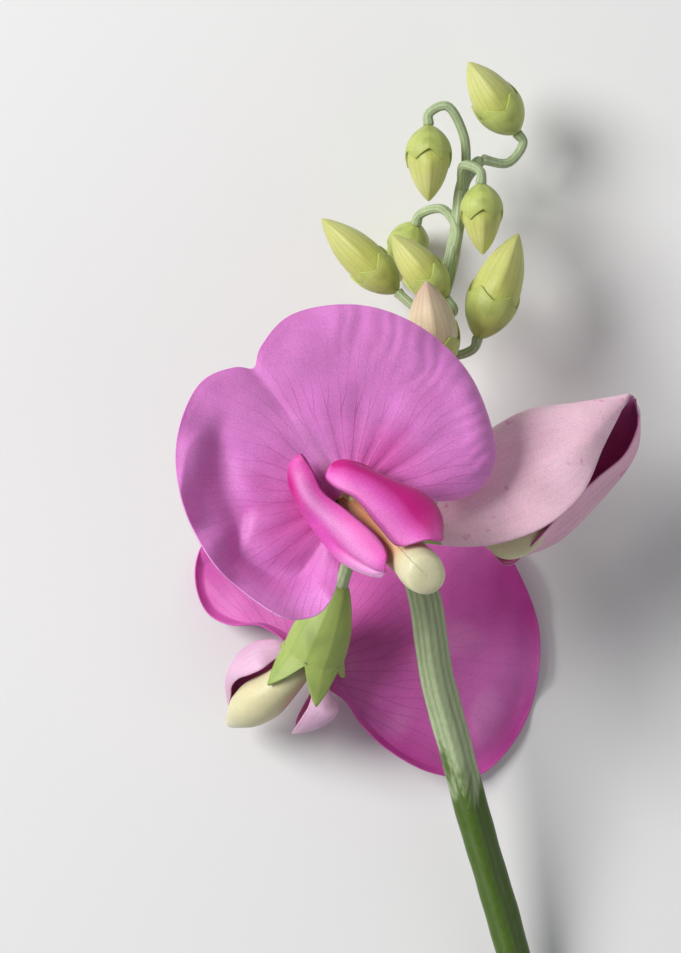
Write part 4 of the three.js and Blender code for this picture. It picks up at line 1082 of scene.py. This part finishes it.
def stamens(name, place, line, sweep):
    """The joined filaments round the style, following the keel that holds them."""
    points = [place(swept(f, sweep), f, d) for f, d in line]
    corners, faces, share, angle = tube(points, stamen_radius, steps=60, columns=36)
    turn = np.minimum(angle, 2 * math.pi - angle)
    marks = {
        "vein": with_ends(together(turn * FILAMENTS / (2 * math.pi), 0, 0.3)),
        "tint": with_ends(together(0.5 * share, 0.2, 0.5)),
        "side": np.tile([1.0, 0, 0], (len(corners), 1)),
    }
    return as_mesh(name, corners, faces, marks)


for name, flower in (("front", FRONT), ("low", LOW), ("side", SIDE)):
    filaments = stamens("stamen_tube_" + name, flower, STAMEN_LINES[name], KEEL_LEAN[name])
    dress(filaments, "stamens_" + name, stamen_tissue)

# %% [markdown]
# ## The three open calyces
#
# Sepals are the plainest leaves of the flower: mottled green and matt. The low flower's cup
# nods a little from its petals and is turned half a tooth. The side flower is younger, so
# its cup is narrow, and the foot of that cup leans to one side to meet its stalk. Each cup
# is the same function with those few values changed, as every flower of a plant is one plan.

# %% Calyces of the open flowers
calyx_tissue = tissue(
    "sweet pea calyx, soft green sepal", ground="#86a046", deep="#607c38", pale="#a9ba54", vein="#5c7634",
    back="#a4b864", vein_width=0.2, roughness=0.5, cell_tint=0.05, glow="#a0d060")
LOW_CALYX = flower_frame([-2.5, -16.3, 8.6], [-0.36, -0.93, -0.34], [0.1, -0.1, -1])
CALYX_FORMS = {
    "front": (FRONT, dict(teeth=(0.4, 3.6))),
    "low": (LOW_CALYX, dict(teeth=(0.4, 3.3), flare=0.42, turn=math.pi / TEETH)),
    "side": (SIDE, dict(mouth=2.2, teeth=(0.4, 0.7), flare=0.1, lean=(-1.5, 0))),
}
for name, (flower, form) in CALYX_FORMS.items():
    cup = calyx("calyx_cup_" + name, flower, CALYX_LENGTH, **{"mouth": CALYX_RADIUS, **form})
    dress(cup, "calyx_" + name, calyx_tissue)

# %% [markdown]
# ## Buds
#
# A bud is the standard wrapped round everything else: a flattened egg with a slight beak and
# a seam down the front where its margins meet. The calyx holds its lower part. Young buds
# are yellow-green all over, and an old one turns cream and flushes pink.
#
# An egg could start as a sphere with a Lattice, but the calyx has to fit it closely. One
# curve gives both: the bud's fullness from base to tip, which the cup follows a sepal's
# thickness outside. Each bud is placed by its base and its tip, and its stalk by its route.

# %% Buds
SEPAL_LIFT = 0.16
BUD_FLATNESS = 0.86
BUD_BEAK = 0.5
BUD_SEPAL = 0.22
HELD_IN = 0.1             # how much the calyx presses the folded petals in
BUD_FOOT = 1.08           # the petals begin this far above the calyx's base
BUD_TOOTH = 1.6
BUDS = [
    dict(base=[16.2, 31.5, 7.5], tip=[11.6, 37.9, 9.0], width=4.9, cup=0.38,
         route=[[12.8, 29.0, 8.7], [15.4, 28.8, 7.6]], age=0.0),
    dict(base=[8.0, 31.9, 11.0], tip=[8.0, 25.0, 10.5], width=4.7, cup=0.36,
         route=[[11.4, 27.5, 9.0], [11.2, 31.0, 10.6], [9.6, 33.6, 11.4]], age=0.0),
    dict(base=[12.7, 26.5, 12.5], tip=[12.9, 20.2, 11.2], width=4.3, cup=0.38,
         route=[[11.2, 26.2, 9.2], [11.2, 28.2, 11.4]], age=0.1),
    dict(base=[5.2, 16.8, 10.0], tip=[-1.7, 23.5, 9.0], width=4.5, cup=0.3,
         route=[[8.6, 15.2, 10.0], [7.6, 14.9, 10.2]], age=0.25),
    dict(base=[9.5, 16.0, 13.0], tip=[4.6, 21.8, 13.0], width=4.3, cup=0.34,
         route=[[9.0, 15.8, 9.7], [10.0, 14.8, 11.4]], age=0.2),
    dict(base=[7.0, 23.4, 4.7], tip=[5.0, 18.3, 0.8], width=4.3, cup=0.36,
         route=[[10.6, 19.8, 9.3], [10.6, 22.4, 9.6], [9.4, 24.5, 7.8]], age=0.0),
    dict(base=[12.4, 12.5, 12.0], tip=[16.1, 22.0, 11.0], width=5.4, cup=0.36,
         route=[[7.6, 12.6, 10.4], [9.8, 11.0, 10.8]], age=0.35),
    dict(base=[8.7, 9.4, 15.2], tip=[7.6, 17.5, 17.2], width=5.4, cup=0.34,
         route=[[5.6, 8.4, 11.4], [6.9, 7.2, 13.6]], age=1.0),
]


def bud_fullness(share):
    """Round at the base and pointed at the tip, 1 at the fullest."""
    return np.sin(math.pi * np.clip(share, 1e-6, 1) ** 0.82) ** 0.78


print("buds:", len(BUDS))


# %% Folded petals
def bud_petals(name, place, length, cup, radius, age, rows=70, columns=96):
    """A bud's wrapped petals, with a seam opposite the ridge of the fold."""
    foot = BUD_FOOT / length
    teeth_end = cup + BUD_TOOTH / length
    share = foot + (1 - foot) * np.sin(np.linspace(0.03, 1, rows) * math.pi / 2)[:, None]
    share = np.minimum(share, 0.9995)
    angle = np.linspace(0, 2 * math.pi, columns, endpoint=False)[None]
    held = 1 - rise(share, teeth_end, teeth_end + 0.25)
    size = np.maximum(radius * bud_fullness(share) - held * HELD_IN, 0.04)
    turn = angle - math.pi - 0.5 * (share - cup)
    seam = -0.16 * hill(turn, 0.0, 0.10) + 0.10 * hill(turn, 0.16, 0.12)
    ridge = 0.10 * (hill(angle, 0, 0.25) + hill(angle, 2 * math.pi, 0.25))
    size = size * (1 + (seam + ridge) * rise(share, cup, cup + 0.2) * (1 - rise(share, 0.9, 1.0)))
    beak = BUD_BEAK * (np.maximum(0, share - cup) / (1 - cup)) ** 2
    forward = length * (share - cup) + 0 * angle
    skin = place(BUD_FLATNESS * size * np.sin(angle), forward, size * np.cos(angle) + beak)
    skin[..., 2] = np.maximum(skin[..., 2], 0)
    points = with_ends(skin, place(0, length * (foot - cup), 0), place(0, length * (1 - cup), BUD_BEAK))
    wrap = np.minimum(angle, 2 * math.pi - angle)
    # An old bud's pink flush; its being deeper underneath than on top is painted shade.
    deep = 0.55 * age * rise(share, cup + 0.15, 1.0) * (1 - 0.4 * np.cos(angle))
    # A dark line of painted shade in the groove of the seam.
    deep = deep + 0.5 * hill(turn, 0.02, 0.05)
    tint = np.clip(together(deep, 0.6 * (1 - age) * rise(share, 0.35, 0.8), 0.22), 0, 1)
    marks = {
        "vein": with_ends(together(wrap * 10 / (2 * math.pi), 1.6 * share, size * 0.62)),
        "tint": with_ends(tint, last=(age, 1 - age, 0)),
        "side": np.tile([1.0, 0, 0], (len(points), 1)),
    }
    return as_mesh(name, points, capped_faces(rows, columns), marks)


# %% Bud tissue
young_bud_tissue = tissue(
    "sweet pea bud, yellow-green folded petals", ground="#bfc468", deep="#b08c6c", pale="#dcdc96",
    vein="#9aa254", back="#bfc468", roughness=0.48, cell_tint=0.05, glow="#c8d070")
old_bud_tissue = tissue(
    "sweet pea bud, cream turning pink", ground="#d6c9a0", deep="#b4808a", pale="#e2d6b4", vein="#a07a72",
    back="#d6c9a0", roughness=0.48, cell_tint=0.05, glow="#e0b090")
bud_calyx_tissue = tissue(
    "sweet pea bud calyx, yellow-green sepal", ground="#a8b552", deep="#75883c", pale="#c6cd74",
    vein="#84943f", back="#b8c26c", vein_width=0.14, roughness=0.48, cell_tint=0.05, glow="#b0d060")
print("bud tissue:", young_bud_tissue.name)

# %% The eight buds
bud_ends = []
for i, bud in enumerate(BUDS, 1):
    start = np.array(bud["base"])
    axis = np.array(bud["tip"]) - start
    length = np.linalg.norm(axis)
    cup = bud["cup"]
    place = flower_frame(start + axis * cup, axis, [0, 0, 1])
    mouth = bud["width"] / 2 * bud_fullness(cup) + SEPAL_LIFT
    cup_form = calyx(
        f"calyx_cup_bud_{i}", place, length * cup, mouth, (BUD_TOOTH / 2, BUD_TOOTH), flare=0.0,
        columns=80, cup_rows=24,
        sepal=BUD_SEPAL, flatness=BUD_FLATNESS,
        swell=lambda share, c=cup: bud_fullness(c * np.maximum(0.06, share)) / bud_fullness(c),
        closing=lambda tooth, c=cup, n=length: bud_fullness(c + tooth / n) / bud_fullness(c))
    dress(cup_form, f"bud_calyx_{i}", bud_calyx_tissue)
    petals = bud_petals(f"petal_bud_{i}", place, length, cup, bud["width"] / 2, bud["age"])
    dress(petals, f"bud_petals_{i}", old_bud_tissue if bud["age"] > 0.5 else young_bud_tissue)
    bud_ends.append((bud["route"], place(0, -length * cup, 0), place(0, -length * cup - 1, 0)))

# %% [markdown]
# ## The stem
#
# The flowering stalk is angular, with four blunt ridges and fine lines between them, and each
# flower hangs from it on its own slender stalk. A whitish wax covers it like the bloom on a
# grape. Where fingers have rubbed it, the wax is gone and the stem shows a darker, glossier
# green. The stalk is one tube along a curve. The small stalks start on its middle line, so
# they come out of it without a gap, and all of them make one mesh, as they grew.

# %% Stem shape
STEM_RADIUS = 1.4
RACHIS_RADIUS = 0.55      # the thin upper part among the buds
PEDICEL_RADIUS = 0.62     # an open flower's own stalk
BUD_STALK_RADIUS = 0.43
STEM_RIDGES = 4
STEM_LINE = [
    [20.2, -62.0, 1.53], [16.0, -44.2, 4.2], [12.2, -31.1, 8.0], [10.5, -24.8, 9.8],
    [8.7, -18.0, 11.8], [7.4, -10.2, 13.2], [5.8, -6.2, 12.7], [4.6, -2.2, 12.0],
    [4.4, 2.4, 11.6], [5.2, 7.0, 11.2], [7.4, 12.4, 10.2], [9.6, 17.8, 9.4],
    [10.6, 22.4, 9.2], [11.3, 27.0, 9.0], [13.0, 29.2, 8.6],
]
PEDICEL_ROUTES = {
    "front": [[5.1, 2.2, 12.3], [0.9, 4.6, 12.5], [-3.6, 5.8, 13.2]],
    "low": [[6.3, -7.6, 13.4], [3.6, -6.6, 13.2], [1.4, -6.6, 12.6]],
    "side": [[5.6, -5.6, 12.7], [3.4, -5.6, 13.7], [1.9, -5.2, 15.4]],
}


def stem_radius(share, angle):
    """Thinner toward the buds, ridged, a little uneven, and rounded off at the end."""
    thin = rise(share, 0.45, 1)
    radius = STEM_RADIUS + (RACHIS_RADIUS - STEM_RADIUS) * thin
    radius = radius * np.sqrt(np.clip(1 - ((share - 0.992) / 0.008).clip(0) ** 2, 0.01, 1))
    ridge = 0.1 * np.cos(STEM_RIDGES * angle) + 0.012 * np.cos(5 * STEM_RIDGES * angle)
    uneven = 0.015 * np.sin(60 * share + 2 * angle) + 0.012 * np.sin(141 * share - 3 * angle)
    return radius * (1 + ridge + uneven)


def pedicel_radius(radius):
    """Thicker where it leaves the stalk, and again under the flower."""
    def at(t, angle):
        collar = 0.35 * np.exp(-t / 0.06) * rise(t, 0, 0.03)
        return radius * (rise(t, -0.03, 0.04) + collar + 0.18 * rise(t, 0.86, 1.0) + 0 * angle)
    return at


# %% Stalks
stalks = [tube(STEM_LINE, stem_radius, steps=460, columns=48)]
ends = []
for name, (flower, form) in CALYX_FORMS.items():
    lean = form.get("lean", (0, 0))
    base = flower(lean[0], -CALYX_LENGTH, lean[1])
    behind = flower(lean[0] * 1.28, -CALYX_LENGTH - 1, lean[1] * 1.28)
    ends.append((PEDICEL_ROUTES[name], base, behind, PEDICEL_RADIUS))
ends += [(route, base, behind, BUD_STALK_RADIUS) for route, base, behind in bud_ends]
stalk_middle = evenly(STEM_LINE, 400)
for route, base, behind, radius in ends:
    joint = stalk_middle[np.argmin(np.linalg.norm(stalk_middle - route[0], axis=1))]
    path = [joint] + [np.array(p, float) for p in route[1:]] + [behind, base]
    stalks.append(tube(path, pedicel_radius(radius), steps=46, columns=24))
print("stalks:", len(stalks))

# %% One skin for all the stalks
LINES_ON_STEM = 3 * STEM_RIDGES
LINES_ON_STALK = 8

corners, faces, veins, tints = [], [], [], []
offset = 0
for number, (points, own_faces, share, angle) in enumerate(stalks):
    lines = LINES_ON_STEM if number == 0 else LINES_ON_STALK
    along = share if number == 0 else 0 * share + 0.9
    count = np.minimum(angle, 2 * math.pi - angle) * lines / (2 * math.pi)
    veins.append(with_ends(together(count, 0, 0.6)))
    worn = 1 - rise(along, 0.24, 0.54)
    # Paler wax along each ridge: a painted highlight.
    ridge = 0.35 * np.cos(STEM_RIDGES * angle).clip(0)
    tints.append(with_ends(together(worn, ridge, along), first=(0, 1, 0), last=(0, 0, 1)))
    corners.append(points)
    faces += [tuple(offset + k for k in face) for face in own_faces]
    offset += len(points)
marks = {"vein": np.vstack(veins), "tint": np.vstack(tints)}
stem = as_mesh("stem_and_pedicels", np.vstack(corners), faces, marks)
print("points on the stem:", offset)

# %% [markdown]
# ### Stem skin
#
# The wax is a pale grey-green film with a matt surface. The rubbed skin below it is an olive
# green, smoother and shinier. Two materials on different faces would meet at a hard line.
# One material mixes them instead, and noise stretched along the stem breaks the edge between
# them into the scuffs and streaks that handling leaves.

# %% Stem material
FIBRE = 0.25         # width of the fine lines along the stem, mm
SCUFF = 1.6          # width of a scuff, mm
STRETCH = 0.16       # noise runs this much more slowly along the stalk
SKIN_IOR = 1.42      # wax bends light a little more than bare cell walls


def stem_skin(name, wax, rubbed, painted_ridge_highlight, dark_line):
    """Wax over green skin, worn away where the first mark says so."""
    material = bpy.data.materials.new(name)
    material.use_nodes = True
    tree = material.node_tree
    tree.nodes.clear()
    tint = add(tree, "Attribute", out="Vector", attribute_name="tint")
    worn, ridge = (add(tree, "SeparateXYZ", {0: tint}, out=axis) for axis in "XY")
    place = add(tree, "TexCoord", out="Object")
    stretched = add(tree, "Mapping", {0: place, "Scale": (1.0, STRETCH, 1.0)})
    fibres = add(tree, "TexNoise", {"Vector": stretched, "Scale": 1 / (FIBRE * MM), "Detail": 3.0})
    scuffs = add(tree, "TexNoise", {
        "Vector": stretched, "Scale": 1 / (SCUFF * MM), "Detail": 5.0, "Roughness": 0.6})
    lines = vein_lines(tree, 0.2)
    edge = add(tree, "Math", {0: scuffs, 1: worn}, operation="ADD")
    bare = add(tree, "MapRange", {0: edge, 1: 0.86, 2: 1.14, 3: 0.0, 4: 1.0}, interpolation_type="SMOOTHSTEP")
    # Painted highlight: the wax is paler on the ridges.
    waxy = add(tree, "Mix", {0: ridge, 6: linear(wax), 7: linear(painted_ridge_highlight)}, out=2, data_type="RGBA")
    colour = add(tree, "Mix", {0: bare, 6: waxy, 7: linear(rubbed)}, out=2, data_type="RGBA")
    thin_lines = add(tree, "Math", {0: lines, 1: 0.3}, operation="MULTIPLY")
    colour = add(tree, "Mix", {0: thin_lines, 6: colour, 7: linear(dark_line)}, out=2, data_type="RGBA")
    value = add(tree, "MapRange", {0: fibres, 1: 0.3, 2: 0.7, 3: 0.88, 4: 1.1})
    colour = add(tree, "HueSaturation", {"Color": colour, "Value": value})
    matt = add(tree, "MapRange", {0: bare, 3: 0.62, 4: 0.36})
    bump = add(tree, "Bump", {"Height": fibres, "Distance": 0.03 * MM, "Strength": 0.7})
    shader = add(tree, "BsdfPrincipled", {
        "Base Color": colour, "Roughness": matt, "Normal": bump, "IOR": SKIN_IOR,
        "Subsurface Weight": 0.2, "Subsurface Radius": (0.5, 1.0, 0.25), "Subsurface Scale": 0.6 * MM,
    })
    add(tree, "OutputMaterial", {"Surface": shader})
    return material


dress(stem, "stem", stem_skin(
    "sweet pea stem, waxy bloom over green skin", wax="#aebd92", rubbed="#4d661f", painted_ridge_highlight="#b4c29a",
    dark_line="#46602a"))

# %% [markdown]
# ## Table, light and camera
#
# A pale matt table and soft studio light leave the flower's own colours alone. One large
# lamp stands at the upper left, as window light would, so the rolled petals shade
# themselves, and a weaker one fills from the right. A sun lamp would be simpler, but its
# hard shadows hide the folds. The camera looks straight down, and its lens is worked out
# from the real size that one pixel covers at the front flower.

# %% Table
TABLE_SIZE = 4.0
half = TABLE_SIZE / 2
table_corners = [(-half, -half, 0), (half, -half, 0), (half, half, 0), (-half, half, 0)]
table_mesh = bpy.data.meshes.new("table")
table_mesh.from_pydata(table_corners, [], [(0, 1, 2, 3)])
table = bpy.data.objects.new("table", table_mesh)
bpy.context.scene.collection.objects.link(table)
paint = bpy.data.materials.new("matt pale table paint")
paint.use_nodes = True
paint_shader = paint.node_tree.nodes["Principled BSDF"]
paint_shader.inputs["Base Color"].default_value = linear("#e9e8e6")
paint_shader.inputs["Roughness"].default_value = 0.85
table_mesh.materials.append(paint)
print("table:", TABLE_SIZE, "m wide")


# %% Light
AIM = (0, 0, 0.012)       # the middle of the spray, m


def soft_lamp(name, place, size, watts):
    """A round softbox at a place in metres, turned to the spray."""
    lamp = bpy.data.lights.new(name, "AREA")
    lamp.shape = "DISK"
    lamp.size = size
    lamp.energy = watts
    made = bpy.data.objects.new(name, lamp)
    made.location = place
    away = np.array(place) - np.array(AIM)
    made.rotation_euler = Vector(away.tolist()).to_track_quat("Z", "Y").to_euler()
    bpy.context.scene.collection.objects.link(made)
    print(name, watts, "W")


soft_lamp("key_softbox", (-0.44, 0.20, 0.44), 0.34, 4.4)
soft_lamp("fill_softbox", (0.45, -0.20, 0.40), 0.6, 0.45)
world = bpy.data.worlds.new("pale room")
world.use_nodes = True
room = world.node_tree.nodes["Background"]
room.inputs["Color"].default_value = (0.9, 0.93, 1.0, 1.0)
room.inputs["Strength"].default_value = 0.26
bpy.context.scene.world = world
bpy.context.scene.view_settings.view_transform = "Standard"
print("camera view transform:", bpy.context.scene.view_settings.view_transform)

# %% Camera
VIEW_HEIGHT_MM = 324.0        # camera height over the table
FOCUS_MM = 24.0               # height of the front flower, where the scale was taken
MM_PER_PIXEL = 0.087          # real size of one pixel at that height
IMAGE_HEIGHT = 953            # pixels
lens = bpy.data.cameras.new("camera")
lens.sensor_fit = "VERTICAL"
lens.sensor_height = 24.0
half_height = IMAGE_HEIGHT * MM_PER_PIXEL / 2
lens.lens = lens.sensor_height / 2 * (VIEW_HEIGHT_MM - FOCUS_MM) / half_height
lens.clip_start = 0.01        # closer than the flower, m
camera = bpy.data.objects.new("camera", lens)
camera.location = [(v - o) * MM for v, o in zip((0, 0, VIEW_HEIGHT_MM), ORIGIN)]
bpy.context.scene.collection.objects.link(camera)
bpy.context.scene.camera = camera
print("lens", round(lens.lens, 1), "mm")
